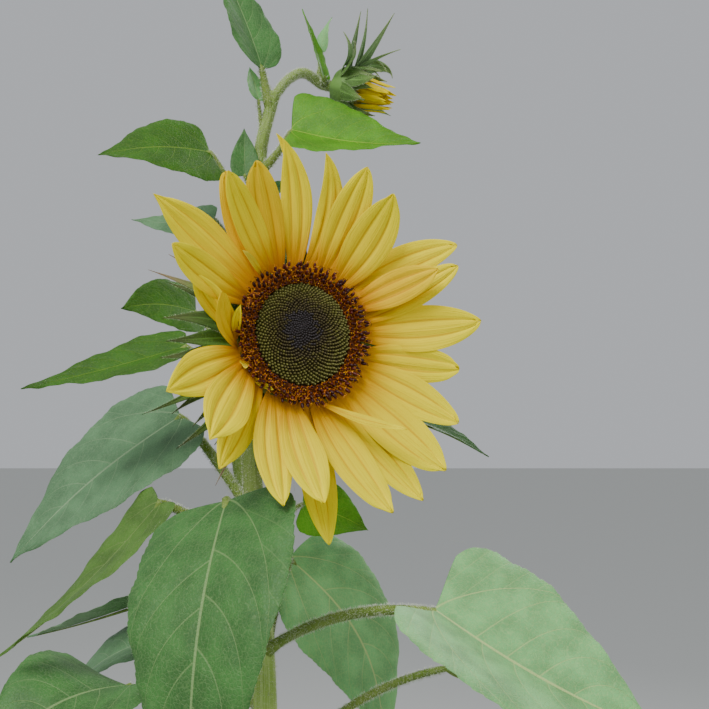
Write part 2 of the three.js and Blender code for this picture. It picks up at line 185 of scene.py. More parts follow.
# Upper tissue, vein and under side of each look of leaf. The looks are partly the leaves' own differences
# and partly painted light: the pale and bright looks lighten leaves that stand in shade, and the bright
# look's yellow-green also paints light shining through backlit leaves.
LOOKS = {
    "mid": ((62, 113, 50), (136, 168, 104), (84, 134, 54)),
    "deep": ((48, 98, 0), (112, 148, 40), (64, 122, 0)),
    "grey": ((88, 130, 88), (142, 172, 128), (108, 146, 98)),
    "pale": ((118, 184, 112), (196, 214, 136), (132, 184, 114)),
    "bright": ((76, 142, 2), (144, 184, 50), (80, 150, 0)),
    "fresh": ((76, 116, 40), (132, 156, 88), (86, 124, 36)),
}

# The stage, in metres: each light's power, size, place and aim, then the floor, the sky, and the
# camera's place and its lens, which is in millimetres
LIGHTS = {
    "key": (68, 1.2, (-0.9, -1.6, 3.5), (0.0, 0.0, 1.4)),
    "fill": (10, 2.5, (2.2, -2.0, 1.6), (0.0, 0.0, 1.3)),
    "rim": (36, 1.6, (1.2, 2.2, 2.8), (0.0, 0.0, 1.3)),
}
FLOOR_SIZE = 12
FLOOR_COLOUR = (0.62, 0.63, 0.6, 1)
SKY_COLOUR = (0.92, 0.95, 1.0, 1)
SKY_STRENGTH = 0.52
CAMERA_PLACE = (0.065, -0.660, 1.440)
CAMERA_LENS = 50.78

# Each leaf: where it leaves its limb, its petiole's length and rise at both ends, its blade's length
# and width, and how the blade turns, droops and rolls from base to tip
LEAVES = {
    "leaf_front": dict(on="main", height=1256, around=-104, petiole=(116, 53, 60),
        size=(202, 104), face=(-95, -100), droop=(-33, -100),
        roll=(-21, -16), fold=3, lobe=0.04, look="mid"),
    # Painted light: the pale look lightens this leaf, which stands in shade
    "leaf_behind_centre": dict(on="main", height=1242, around=69, petiole=(69, 64, 44),
        size=(167, 91), face=(6, 22), droop=(-42, -88),
        roll=(-46, -66), fold=3, lobe=0.0, look="pale"),
    "leaf_right_front": dict(on="main", height=1243, around=-40, petiole=(148, 36, 4),
        size=(141, 129), face=(-34, -8), droop=(-27, -19),
        roll=(-6, -35), fold=22, lobe=0.16, skew=0.05, look="pale"),
    "leaf_right_low": dict(on="main", height=1147, around=-15, petiole=(158, 62, 15),
        size=(110, 88), face=(-7, -3), droop=(-24, -50),
        roll=(14, -7), fold=8, lobe=0.09, look="mid"),
    "leaf_left_narrow": dict(on="main", height=1389, around=-149, petiole=(72, 63, 40),
        size=(108, 45), face=(-173, -182), droop=(-17, -12),
        roll=(33, 29), fold=14, lobe=0.07, base=0.4, look="deep"),
    "leaf_left_broad": dict(on="main", height=1330, around=144, petiole=(96, 50, 38),
        size=(151, 103), face=(197, 185), droop=(-33, -48),
        roll=(28, 37), fold=8, lobe=0.11, look="grey"),
    "leaf_left_folded": dict(on="main", height=1307, around=-159, petiole=(75, 38, 25),
        size=(135, 49), face=(-156, -175), droop=(-49, -37),
        roll=(20, -4), fold=8, lobe=0.1, look="fresh"),
    "leaf_left_low": dict(on="main", height=1166, around=-162, petiole=(110, 47, 25),
        size=(101, 105), face=(-139, -168), droop=(6, -52),
        roll=(-13, 64), fold=9, lobe=0.02, look="mid"),
    "leaf_left_thin": dict(on="main", height=1256, around=146, petiole=(107, 12, -5),
        size=(100, 50), face=(169, 167), droop=(-21, -16),
        roll=(-10, 0), fold=20, lobe=0.1, look="grey"),
    "leaf_left_shaded": dict(on="main", height=1204, around=154, petiole=(93, 29, 20),
        size=(110, 79), face=(171, 172), droop=(-18, -60),
        roll=(11, 10), fold=10, lobe=0.1, look="grey"),
    "leaf_left_upper": dict(on="main", height=1407, around=150, petiole=(77, 63, 45),
        size=(56, 53), face=(-144, -141), droop=(14, -12),
        roll=(42, 54), fold=7, lobe=0.1, look="deep"),
    "leaf_right_upper": dict(on="main", height=1394, around=22, petiole=(101, 11, -5),
        size=(76, 34), face=(-8, -8), droop=(-16, -31),
        roll=(-15, -10), fold=20, lobe=0.1, look="mid"),
    # Painted light: the bright look lightens this leaf, which stands in shade under the head
    "leaf_under_head": dict(on="main", height=1318, around=50, petiole=(48, 30, 15),
        size=(50, 46), face=(5, 5), droop=(-15, -30),
        roll=(-60, -50), look="bright"),
    "branch_leaf_left": dict(on="branch", height=1535, around=-153, petiole=(59, 66, 52),
        size=(84, 68), face=(-138, -157), droop=(1, -16),
        roll=(53, 32), fold=3, lobe=0.06, look="deep"),
    "branch_leaf_right": dict(on="branch", height=1574, around=-23, petiole=(40, 35, 58),
        size=(98, 74), face=(-14, -19), droop=(-17, 0),
        roll=(-46, -34), fold=22, lobe=0.07, base=0.95, skew=0.11, look="bright"),
    "branch_leaf_top": dict(on="branch", height=1622, around=-146, petiole=(29, 73, 78),
        size=(116, 45), face=(129, 135), droop=(62, 56),
        roll=(1, 1), fold=18, lobe=0.02, base=0.35, look="mid"),
    "branch_leaf_behind": dict(on="branch", height=1501, around=128, petiole=(58, 56, 36),
        size=(64, 33), face=(178, 180), droop=(-8, 8),
        roll=(54, 40), fold=7, lobe=0.1, look="grey"),
    "branch_leaflet_high": dict(on="branch", height=1603, around=-149, petiole=(25, 74, 86),
        size=(28, 22), face=(140, 138), droop=(71, 68),
        roll=(-3, 4), fold=16, lobe=0.1, base=0.35, look="pale"),
    "branch_leaflet_left": dict(on="branch", height=1559, around=-136, petiole=(15, 42, 61),
        size=(38, 22), face=(101, 100), droop=(72, 80),
        roll=(6, 2), fold=15, lobe=0.1, base=0.35, look="mid"),
    "branch_leaflet_right": dict(on="branch", height=1548, around=48, petiole=(19, 50, 40),
        size=(34, 16), face=(31, 31), droop=(20, 0),
        roll=(-40, -40), fold=15, base=0.35, look="mid"),
}
BUD_LEAVES = {
    "bud_leaf_long": dict(share=13 / 16, around=-90, petiole=(9, 0, 40),
        size=(58, 16), face=(150, 160), droop=(72, 70), fold=18, base=0.35, look="bright"),
    "bud_leaf_pale": dict(share=11 / 16, around=70, petiole=(26, 60, 85),
        size=(31, 15), face=(60, 20), droop=(80, 60), fold=12, base=0.35, look="pale"),
}

# Where each ray floret leaves the disc round its edge, its length, width, lift off the disc, turn from
# straight out, bend in its own plane, roll, hook of its tip, bluntness and tone, clockwise from the top
# Of the tones, lemon is the petals' own yellow, gold a darker copy painted as shade on petals that stand in
# shadow, and pale a lighter copy painted as light
RAYS = (
    (90, 85, 13, 6, 2, 30, 20, 30, 0.8, "lemon"),
    (93, 77, 21, 12, 0, 22, 0, 16, 0.7, "lemon"),
    (80, 74, 18, 17, 0, 45, 0, 22, 0.8, "lemon"),
    (66, 71, 26, 21, 4, 10, 0, 0, 0.62, "lemon"),
    (50, 66, 30, 25, 10, 20, 0, 8, 0.62, "lemon"),
    (39, 81, 24, 14, -15, -10, 10, -6, 0.62, "lemon"),
    (26, 57, 22, 32, -3, 0, 10, 0, 0.6, "gold"),
    (14, 72, 20, 21, 14, 10, 10, 0, 0.5, "lemon"),
    (3, 77, 30, 20, -2, 0, 0, 8, 0.62, "lemon"),
    (-18, 64, 24, 16, 8, 0, -10, 0, 0.42, "lemon"),
    (-29, 72, 26, 17, -4, -10, 0, 0, 0.6, "lemon"),
    (-46, 80, 32, 18, -2, 0, 0, 0, 0.62, "lemon"),
    (-64, 83, 24, 17, 8, 0, 0, 0, 0.62, "lemon"),
    (-78, 58, 9, 42, 50, 30, 30, 0, 0.7, "lemon"),
    (-80, 80, 26, 19, 16, 10, 0, 0, 0.62, "lemon"),
    (-88, 84, 24, 4, 2, 0, 0, 0, 0.7, "lemon"),
    (-104, 67, 27, 26, 18, 10, 0, 0, 0.62, "lemon"),
    (-120, 69, 24, 20, 24, 20, 0, 0, 0.7, "lemon"),
    (-138, 58, 22, 9, 18, -10, 0, 0, 0.85, "lemon"),
    (-151, 60, 30, 26, 22, 0, 0, 0, 0.95, "lemon"),
    (-162, 60, 27, 20, 5, 10, 0, 0, 0.95, "lemon"),
    (-172, 38, 18, 34, -68, -42, -30, 0, 0.5, "gold"),
    (176, 42, 16, 14, -44, 0, 40, 0, 0.62, "lemon"),
    (149, 60, 22, 22, 4, -10, 0, 0, 0.7, "lemon"),
    (136, 80, 26, 11, 7, 10, 0, 0, 0.9, "lemon"),
    (126, 66, 22, 6, -17, 0, 0, 0, 0.45, "gold"),
    (115, 68, 20, 24, 9, 0, 0, 0, 0.62, "lemon"),
    (109, 66, 24, 20, -1, 0, 0, 0, 0.48, "gold"),
)

# Stunted ray florets that curl over the ring, left of the disc
SHORT_RAYS = (
    (124, 28, 6, 38, 25, 20, 0, 0, 0.7, "pale"),
    (-178, 22, 7, 40, -87, -20, 30, 0, 0.8, "lemon"),
    (-158, 8, 7, 50, 60, 0, 0, 0, 0.4, "pale"),
    (-143, 15, 5, 24, 106, 20, 0, 0, 0.6, "pale"),
)

# Rows of bracts under the head: their count, share of a step round, radius, level, length, width and
# rise at both ends, then those whose tips stand out past the rays: place round, length, width, bend
# and the tone of their tips
BRACT_ROWS = (
    (13, 0.0, 35, -8, 50, 17, (10, -12)),
    (11, 0.5, 30, -11, 54, 16, (-8, -30)),
)
LONG_BRACTS = (
    (145, 58, 10, -3, "pink"),
    (154, 64, 9, 0, "pink"),
    (169, 38, 11, 3, "pink"),
    (-179, 46, 17, 0, "dark"),
    (-155, 71, 10, -6, "dark"),
    (-150, 56, 15, 8, "dark"),
    (-139, 66, 13, -5, "dark"),
    (-120, 69, 9, 8, "pink"),
)

# The bud's long bracts: where each leaves the cup round its edge, its length, width, level and rise at
# both ends
BUD_BRACTS = (
    (97, 41, 17, -9, 5, 0),
    (93, 45, 13, -2, 4, -9),
    (84, 51, 18, -2, 23, 14),
    (83, 37, 8, -2, 44, 61),
    (75, 29, 6, 0, 19, 142),
    (44, 54, 20, -2, -20, 159),
    (115, 22, 6, 2, 65, 139),
    (120, 28, 16, -9, 30, -40),
    (140, 32, 15, -7, 40, 0),
    (166, 38, 14, -5, 78, 42),
    (196, 34, 14, -5, 60, 40),
    (18, 32, 16, -6, 30, 100),
    (-12, 34, 13, -5, 72, 60),
    (-40, 32, 16, -6, 45, 96),
    (-80, 32, 13, -5, 66, 50),
    (-105, 28, 15, -6, 50, 90),
    (-130, 32, 13, -5, 68, 50),
)


def heading(around, rise):
    """Unit vectors: `around` turns from +X towards +Y, `rise` lifts them from the level."""
    around, rise = np.broadcast_arrays(np.radians(around), np.radians(rise))
    level = np.cos(rise)
    return np.stack([np.cos(around) * level, np.sin(around) * level, np.sin(rise)], axis=-1)


def polar(radius, turn, height):
    """Points round an axis: their distance from it, angle round it and height along it."""
    return np.stack(np.broadcast_arrays(radius * np.cos(turn), radius * np.sin(turn), height), axis=-1)


def mix(a, b, t):
    return a + (b - a) * t


def smooth(t):
    return t * t * (3 - 2 * t)


def unit(vectors):
    return vectors / np.linalg.norm(vectors, axis=-1, keepdims=True)


def route(points, steps=16):
    """Points on one smooth curve through the given ones."""
    p = np.array(points, float)
    p = np.vstack([2 * p[0] - p[1], p, 2 * p[-1] - p[-2]])
    t = (np.arange(steps) / steps)[:, None]
    spans = []
    for a, b, c, d in zip(p[:-3], p[1:-2], p[2:-1], p[3:]):
        line = 2 * b + (c - a) * t
        spans.append(0.5 * (line + (2 * a - 5 * b + 4 * c - d) * t**2 + (3 * b - a - 3 * c + d) * t**3))
    return np.vstack([*spans, p[-2]])


def lengths_along(path):
    """How far along a path each of its points is."""
    return np.concatenate([[0], np.cumsum(np.linalg.norm(np.diff(path, axis=0), axis=1))])


def along_path(path, t):
    """Points at shares t of the way through a path's points."""
    index = np.linspace(0, 1, len(path))
    return np.stack([np.interp(t, index, path[:, k]) for k in range(3)], axis=-1)


def at_height(path, height):
    return np.array([np.interp(height, path[:, 2], path[:, k]) for k in range(3)])


def facing(flower):
    return heading(flower["yaw"] - 90, flower["pitch"])


def behind(flower, distance):
    """The place on a flower's axis at a distance behind it."""
    return tuple(np.array(flower["at"], float) - facing(flower) * distance)


MAIN = route([
    (0, 0, -60),
    (0, 0, 0),
    (3, 0, 500),
    (6, 0, 1000),
    (6, 0, 1210),
    (-3, 0, 1370),
    (-4, 6, 1418),
    behind(HEAD, HEAD_BACK_DEPTH + 28),
    behind(HEAD, HEAD_BACK_DEPTH - 3),
])
BRANCH = route([
    (5, 3, 1268),
    (-4, 22, 1320),
    (-16, 40, 1373),
    (-19, 62, 1470),
    (-6, 80, 1576),
    (-3, 80, 1599),
    (6, 80, 1634),
])
STALK = route([
    (4, 80, 1628),
    (15, 84, 1644),
    (27, 93, 1652),
    behind(BUD, BUD_DEPTH + 8),
    behind(BUD, BUD_DEPTH - 1),
])


def stem_radius(height):
    rise = np.clip(height / NECK_HEIGHT, 0, 1)
    flare = FLARE * np.exp(-np.maximum(height, 0) / FLARE_HEIGHT)
    return FOOT_RADIUS - (FOOT_RADIUS - NECK_RADIUS) * rise**STEM_TAPER + flare


# Meshes


def from_grid(columns, rows, move, slot_of=None):
    """A mesh bent from a flat grid: `move` turns its places x (-1 to 1) and t (0 to 1) into points and
    their pattern coordinates. Its seams are merged, so a grid that meets itself becomes closed."""
    bm = bmesh.new()
    pattern = bm.loops.layers.uv.new("UVMap")
    bmesh.ops.create_grid(bm, x_segments=columns, y_segments=rows, size=1.0)
    flat = np.array([v.co for v in bm.verts])
    points, across, t = move(flat[:, 0], (flat[:, 1] + 1) / 2)
    bm.verts.index_update()
    for face in bm.faces:
        face.smooth = True
        if slot_of:
            face.material_index = slot_of(face.calc_center_median().x)
        for loop in face.loops:
            i = loop.vert.index
            loop[pattern].uv = (across[i], t[i])
    for vertex, point in zip(bm.verts, points):
        vertex.co = point
    bmesh.ops.remove_doubles(bm, verts=bm.verts, dist=SEAM)
    bmesh.ops.recalc_face_normals(bm, faces=bm.faces)
    return bm


def carried_frames(path):
    """Two directions across each point of a path, carried along it without twisting."""
    along = unit(np.gradient(path, axis=0))
    across = np.zeros_like(path)
    start = np.array([1.0, 0, 0])
    for i, way in enumerate(along):
        start = start - way * start.dot(way)
        if start.dot(start) < 1e-2:
            start = np.cross([0, 1.0, 0], way)
        start = start / np.linalg.norm(start)
        across[i] = start
    return across, np.cross(across, along)


def out_of_limb(frames, t, turn):
    """Directions out of a limb at shares along it and angles round it."""
    across, other = (along_path(frame, t) for frame in frames)
    return across * np.cos(turn)[:, None] + other * np.sin(turn)[:, None]


def at_ends(t):
    return (t < NEAR) | (t > 1 - NEAR)


def limb(path, radius, sides, steps, slot=0):
    """A round limb, closed at its ends. `radius` takes shares along and angles round it."""
    frames = carried_frames(path)

    def move(x, t):
        turn = (x + 1) * pi
        pinch = np.where(at_ends(t), 0.0, 1.0)
        t = np.clip((t - 1 / steps) / (1 - 2 / steps), 0, 1)
        reach = (radius(t, turn) * pinch)[:, None]
        return along_path(path, t) + out_of_limb(frames, t, turn) * reach, (x + 1) / 2, t

    return from_grid(sides, steps, move, lambda x: slot)


def turned(profile, sides, rows=0, slot_at=lambda z: 0, lobes=0, flare=0.0):
    """A closed shape turned from its profile of radius and height, in even rows, or else with a row to
    each of its points and `lobes` in its rim."""
    profile = np.array(profile, float)
    run = lengths_along(profile) if rows else np.arange(len(profile))

    def move(x, t):
        place = t * run[-1]
        radius, height = (np.interp(place, run, profile[:, k]) for k in (0, 1))
        turn = (x + 1) * pi
        if lobes:
            rim = np.exp(-((place - len(profile) / 2) ** 2))
            radius = radius * (1 + flare * rim * np.cos(lobes * turn))
        return polar(radius, turn, height), (x + 1) / 2, t

    bm = from_grid(sides, rows or len(profile) - 1, move)
    for face in bm.faces:
        face.material_index = slot_at(face.calc_center_median().z)
    return bm


def blade_frame(blade, t):
    """The direction, right side and upper side of a blade at t along it."""
    around = mix(*blade["face"], t) + blade.get("hook", 0) * t**3
    along = heading(around, mix(*blade["droop"], smooth(t)))
    level = heading(around - 90, np.zeros_like(t))
    over = np.cross(level, along)
    roll = np.radians(mix(*blade["roll"], t))[:, None]
    side = level * np.cos(roll) + over * np.sin(roll)
    return along, side, over * np.cos(roll) - level * np.sin(roll)


def spine(blade, start, steps=160):
    along, _, _ = blade_frame(blade, (np.arange(steps) + 0.5) / steps)
    return np.vstack([start, start + np.cumsum(along, axis=0) * blade["size"][0] / steps])


def blade_point(blade, points, q, t, above):
    """Points of a blade: q from edge to edge, t from base to tip, `above` its middle surface."""
    length, width = blade["size"]
    along, side, up = blade_frame(blade, np.clip(t, 0, 1))
    half = width / 2 * blade["outline"](t)
    spread = np.abs(q)
    fold = np.radians(blade["fold"])
    edge = blade["edge"](q, t, half) if "edge" in blade else 1.0
    lift = half * np.sqrt(q * q + 0.006) * sin(fold)
    if "relief" in blade:
        lift = lift + blade["relief"](q, t, half)
    lobes = blade["lobe"] * spread**1.4 - blade.get("skew", 0) * q
    back = lobes * length * np.clip(1 - t, 0, 1) ** 2
    if "notch" in blade:
        back = back + blade["notch"](q, t) * length
    out = half * q * np.cos(fold) * edge
    base = along_path(points, np.clip(t, 0, 1)) + along * (np.minimum(t, 0) * length)[:, None]
    return base + side * out[:, None] + up * (lift + above)[:, None] - along * back[:, None]


def blade_mesh(blade, start, columns, rows, slots=(0, 1), first=0.0):
    """A thin closed blade: one grid over its upper side and back under it, thin at its edges."""
    points = spine(blade, start)

    def move(x, y):
        q = np.sin((1 - 2 * np.abs(x)) * pi / 2)
        q[np.abs(x) > 1 - NEAR] = -1.0
        y = mix(y, (1 - np.cos(pi * y)) / 2, 0.5)
        thick = np.sqrt(np.clip(1 - q**8, 0, 1)) * np.sqrt(np.clip(1 - np.abs(2 * y - 1) ** 24, 0, 1))
        above = np.where(x <= 0, 0.5, -0.5) * thick * blade["thickness"]
        above[(np.abs(q) > 1 - 1e-9) | at_ends(y)] = 0
        t = mix(first, 1, y)
        if "corner" in blade:
            q, t = blade["corner"](q, t)
        return blade_point(blade, points, q, t, above), (q + 1) / 2, t

    return from_grid(2 * columns, rows, move, lambda x: slots[0] if x < 0 else slots[1])


def leaf_outline(base):
    """Widest a quarter of the way along, with rounded lobes, then drawn out to a point."""

    def half(t):
        early = 1 - (1 - base) * (np.clip(LEAF_BELLY - t, 0, 1) / LEAF_BELLY) ** 2
        late = np.cos(pi / 2 * np.clip((t - LEAF_BELLY) / (1 - LEAF_BELLY), 0, 1))
        return np.where(t < LEAF_BELLY, early, np.maximum(0.012, np.clip(late, 0, 1) ** 1.2))

    return half


def ray_outline(blunt):
    """Widest half way along, with a blunt tip and a narrow claw."""

    def half(t):
        early = 0.42 + 0.58 * np.sin(pi * np.clip(t, -0.1, 0.5))
        late = np.clip(np.cos(pi * (t - 0.5)), 0, 1) ** blunt
        return np.where(t < 0.5, early, np.maximum(0.02, late))

    return half


def bract_outline(t):
    """Broad at the foot, then drawn out to a long thin tip."""
    return np.maximum(0.03, np.clip(1 - t, 0, 1) ** 1.15 * (1 + 0.3 * np.sin(pi * t)))


def rounded(reach, share):
    """Turns the sharp corners at a blade's foot into round lobes."""

    def corner(q, t):
        low = np.clip(1 - t / reach, 0, 1)
        return q * np.sqrt(1 - share / 2 * low**2), t - reach * low * (np.sqrt(1 - share / 2 * q**2) - 1)

    return corner


def to_vein(q, t):
    """How far a place on a leaf is from its nearest vein, along the leaf."""
    spread = np.abs(q)
    foot = t - FOOT_VEIN[0] * spread ** FOOT_VEIN[1]
    rise = t - VEIN_SLOPE[0] * spread - VEIN_SLOPE[1] * spread ** VEIN_SLOPE[2] - VEIN_SHIFT * (q > 0)
    step = (rise - FIRST_VEIN) / VEIN_PERIOD
    lateral = np.abs(step - np.maximum(np.round(step), 0)) * VEIN_PERIOD
    outer = (t - OUTER_SLOPE * spread) / OUTER_PERIOD
    outer = np.abs(outer - np.round(outer)) * OUTER_PERIOD + 0.006
    inner = np.minimum(lateral, np.abs(foot))
    near = np.where(foot > 0, inner, np.minimum(outer, np.abs(foot)))
    return np.minimum(near, spread * 0.3)


def leaf_relief(depth, ripple, curl, phase):
    """Tissue puffed up between the veins, a wavy margin, and edges that turn down."""

    def lift(q, t, half):
        puff = 1 - np.exp(-((to_vein(q, t) / 0.022) ** 2))
        puff = puff * np.clip((1 - np.abs(q)) * 5, 0, 1)
        wave = np.sin(tau * (t * 3.2 + phase + 0.3 * (q > 0))) * q**4
        wave = wave + 0.5 * np.sin(tau * (t * 7.7 + phase)) * q**6
        return (depth * puff + ripple * wave) * np.clip(t * 12, 0, 1) - curl * half * q**6

    return lift


def toothed(count, depth):
    """Small teeth that point forward along a blade's margin."""

    def edge(q, t, half):
        saw = 1 - np.mod(t * count, 1.0)
        return 1 - depth * (1 - saw) * np.abs(q) ** 10

    return edge


def gathered(parts):
    """One bmesh from several."""
    whole = bmesh.new()
    for part in parts:
        loose = bpy.data.meshes.new("part")
        part.to_mesh(loose)
        part.free()
        whole.from_mesh(loose)
        bpy.data.meshes.remove(loose)
    return whole


def placed(name, data):
    """A new object of its data, in the scene."""
    piece = bpy.data.objects.new(name, data)
    bpy.context.scene.collection.objects.link(piece)
    return piece


def dressed(name, mesh, finishes, slot, replaces=(), place=None):
    """The piece of a mesh, brought to its place in metres, with its finishes and what it replaces."""
    if place is not None:
        mesh.transform(place)
    mesh.transform(Matrix.Scale(MM, 4))
    for finish in finishes:
        mesh.materials.append(finish)
    piece = placed(name, mesh)
    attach(piece, "root")
    if replaces:
        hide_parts(*replaces)


def show(name, bm, finishes, slot, replaces=(), place=None):
    """The dressed piece of a bmesh."""
    mesh = bpy.data.meshes.new(name)
    bm.to_mesh(mesh)
    bm.free()
    dressed(name, mesh, finishes, slot, replaces, place)


def flower_place(flower):
    """A flower's own frame: its X is level, and its Z is the way it faces."""
    out = facing(flower)
    right = heading(flower["yaw"], 0)
    up = np.cross(out, right)
    place = np.eye(4)
    place[:3, :3] = np.stack([right, up, out], axis=1)
    place[:3, 3] = flower["at"]
    return Matrix(place.tolist())


def spread_copies(name, template, origins, axes, finishes, slot, first_finish=0, place=None):
    """Copies of a small closed shape, joined into one mesh. Each copy's finishes count from its own
    first one."""
    bmesh.ops.triangulate(template, faces=template.faces)
    template.verts.index_update()
    shape = np.array([v.co for v in template.verts])
    corners = np.array([[v.index for v in f.verts] for f in template.faces])
    kinds = np.array([f.material_index for f in template.faces])
    template.free()
    count = len(origins)
    points = origins[:, None, :] + np.einsum("kj,njc->nkc", shape, axes)
    faces = corners[None] + (np.arange(count) * len(shape))[:, None, None]
    index = kinds[None] + np.broadcast_to(first_finish, count)[:, None]
    mesh = bpy.data.meshes.new(name)
    mesh.from_pydata(points.reshape(-1, 3), [], faces.reshape(-1, 3))
    mesh.polygons.foreach_set("material_index", index.reshape(-1).astype(np.int32))
    mesh.polygons.foreach_set("use_smooth", np.ones(len(mesh.polygons), bool))
    mesh.update()
    dressed(name, mesh, finishes, slot, (), place)


def axes_from(out, size, chance):
    """Scaled axes whose third is `out`, turned by chance about it."""
    out = unit(out)
    helper = np.where(np.abs(out[:, 2:]) > 0.9, [[1.0, 0, 0]], [[0, 0, 1.0]])
    first = unit(np.cross(helper, out))
    second = np.cross(out, first)
    turn = chance.uniform(0, tau, len(out))[:, None]
    x = first * np.cos(turn) + second * np.sin(turn)
    y = second * np.cos(turn) - first * np.sin(turn)
    size = np.broadcast_to(size, (len(out), 3))
    return np.stack([x * size[:, :1], y * size[:, 1:2], out * size[:, 2:]], axis=1)


# Hairs: each group gathers places, directions and lengths, and is joined at the end

HAIRS = {}


def add_hairs(group, points, ways, lengths, place=None):
    """Gathers hairs that stand clear of the ground. `place` is the frame that they are given in."""
    if place is not None:
        matrix = np.array(place)
        points = points @ matrix[:3, :3].T + matrix[:3, 3]
        ways = ways @ matrix[:3, :3].T
    high = points[:, 2] > GROUND_CLEARANCE
    HAIRS.setdefault(group, []).append((points[high], ways[high], lengths[high]))


def hair_on_limb(group, path, radius, count, length, seed, sweep=0.25, low=0.0, high=1.0):
    """Hairs round a limb between two shares of its length, swept a little towards its tip."""
    chance = np.random.default_rng(seed)
    run = lengths_along(path)
    t = np.interp(chance.uniform(low, high, count), run / run[-1], np.linspace(0, 1, len(path)))
    turn = chance.uniform(0, tau, count)
    side = out_of_limb(carried_frames(path), t, turn)
    along = along_path(unit(np.gradient(path, axis=0)), t)
    points = along_path(path, t) + side * (radius(t, turn) * 0.97)[:, None]
    lean = along * chance.normal(sweep, 0.3, count)[:, None]
    ways = unit(side + lean + chance.normal(0, 0.2, (count, 3)))
    add_hairs(group, points, ways, chance.uniform(0.5, 1.0, count) * length)


def hair_on_blade(group, blade, start, count, length, seed, place=None):
    """Hairs on a blade: most along its margins, the others on its faces, more of them below."""
    chance = np.random.default_rng(seed)
    t = chance.uniform(0.0, 0.97, count)
    on_margin = chance.uniform(0, 1, count) < 0.6
    q = np.where(on_margin, np.sign(chance.uniform(-1, 1, count)), chance.uniform(-0.95, 0.95, count))
    face = np.where(chance.uniform(0, 1, count) < 0.7, -1.0, 1.0)
    face = np.where(on_margin, 0.0, face)
    along, side, up = blade_frame(blade, t)
    points = blade_point(blade, spine(blade, start), q, t, face * blade["thickness"] * 0.45)
    ways = np.where(on_margin[:, None], side * q[:, None], up * face[:, None]) + along * 0.5
    ways = unit(ways + chance.normal(0, 0.25, (count, 3)))
    add_hairs(group, points, ways, chance.uniform(0.5, 1.0, count) * length, place)


def hair_pieces(look):
    """The bristles that every other step gathered, joined by where they grow."""
    chance = np.random.default_rng(77)
    for group, lots in HAIRS.items():
        slot, radius, colour = HAIR_KINDS[group]
        points, ways, lengths = (np.concatenate(lot) for lot in zip(*lots))
        lengths = lengths * look.hair_length
        width = look.hair_width * radius * (0.6 + 0.4 * lengths / lengths.max())
        cone = bmesh.new()
        bmesh.ops.create_cone(cone, cap_ends=True, segments=3, radius1=1.0, radius2=0.0, depth=1.0)
        bmesh.ops.translate(cone, verts=cone.verts, vec=(0, 0, 0.5))
        axes = axes_from(ways, np.stack([width, width, lengths], axis=-1), chance)
        spread_copies("hairs_on_" + group, cone, points, axes, [plain("hair_" + group, colour)], slot)


# Finishes


def tone(colour, scale=1.0, lift=0.0):
    """A linear colour from its 0 to 255 parts, each first scaled and lifted."""
    parts = np.clip((np.array(colour) * scale + lift) / 255, 0, 1)
    linear = np.where(parts <= 0.04045, parts / 12.92, ((parts + 0.055) / 1.055) ** 2.4)
    return (*(float(part) for part in linear), 1.0)


def chosen(colour):
    """The 0 to 255 parts of a colour that the panel sets."""
    return [255 * part for part in colour]


def operation(kind, swapped=False):
    """A method that works a value and any others through a Math node."""

    def work(self, *others):
        values = (self, *others)
        return self.maths(kind, *(reversed(values) if swapped else values))

    return work


class Value:
    """A shader value that arithmetic builds on."""

    def __init__(self, finish, output):
        self.finish = finish
        self.output = output

    def maths(self, kind, *values):
        node = self.finish.node("ShaderNodeMath", {"operation": kind}, *values)
        return Value(self.finish, node.outputs[0])

    __add__ = operation("ADD")
    __sub__ = operation("SUBTRACT")
    __rsub__ = operation("SUBTRACT", swapped=True)
    __mul__ = operation("MULTIPLY")
    __truediv__ = operation("DIVIDE")
    __pow__ = operation("POWER")
    size = operation("ABSOLUTE")
    fraction = operation("FRACT")
    whole = operation("ROUND")
    above = operation("GREATER_THAN")
    at_least = operation("MAXIMUM")

    def ramp(self, low, high, start=0.0, end=1.0):
        """From `start` at low to `end` at high, eased."""
        settings = {"interpolation_type": "SMOOTHSTEP"}
        node = self.finish.node("ShaderNodeMapRange", settings, self, low, high, start, end)
        return Value(self.finish, node.outputs[0])


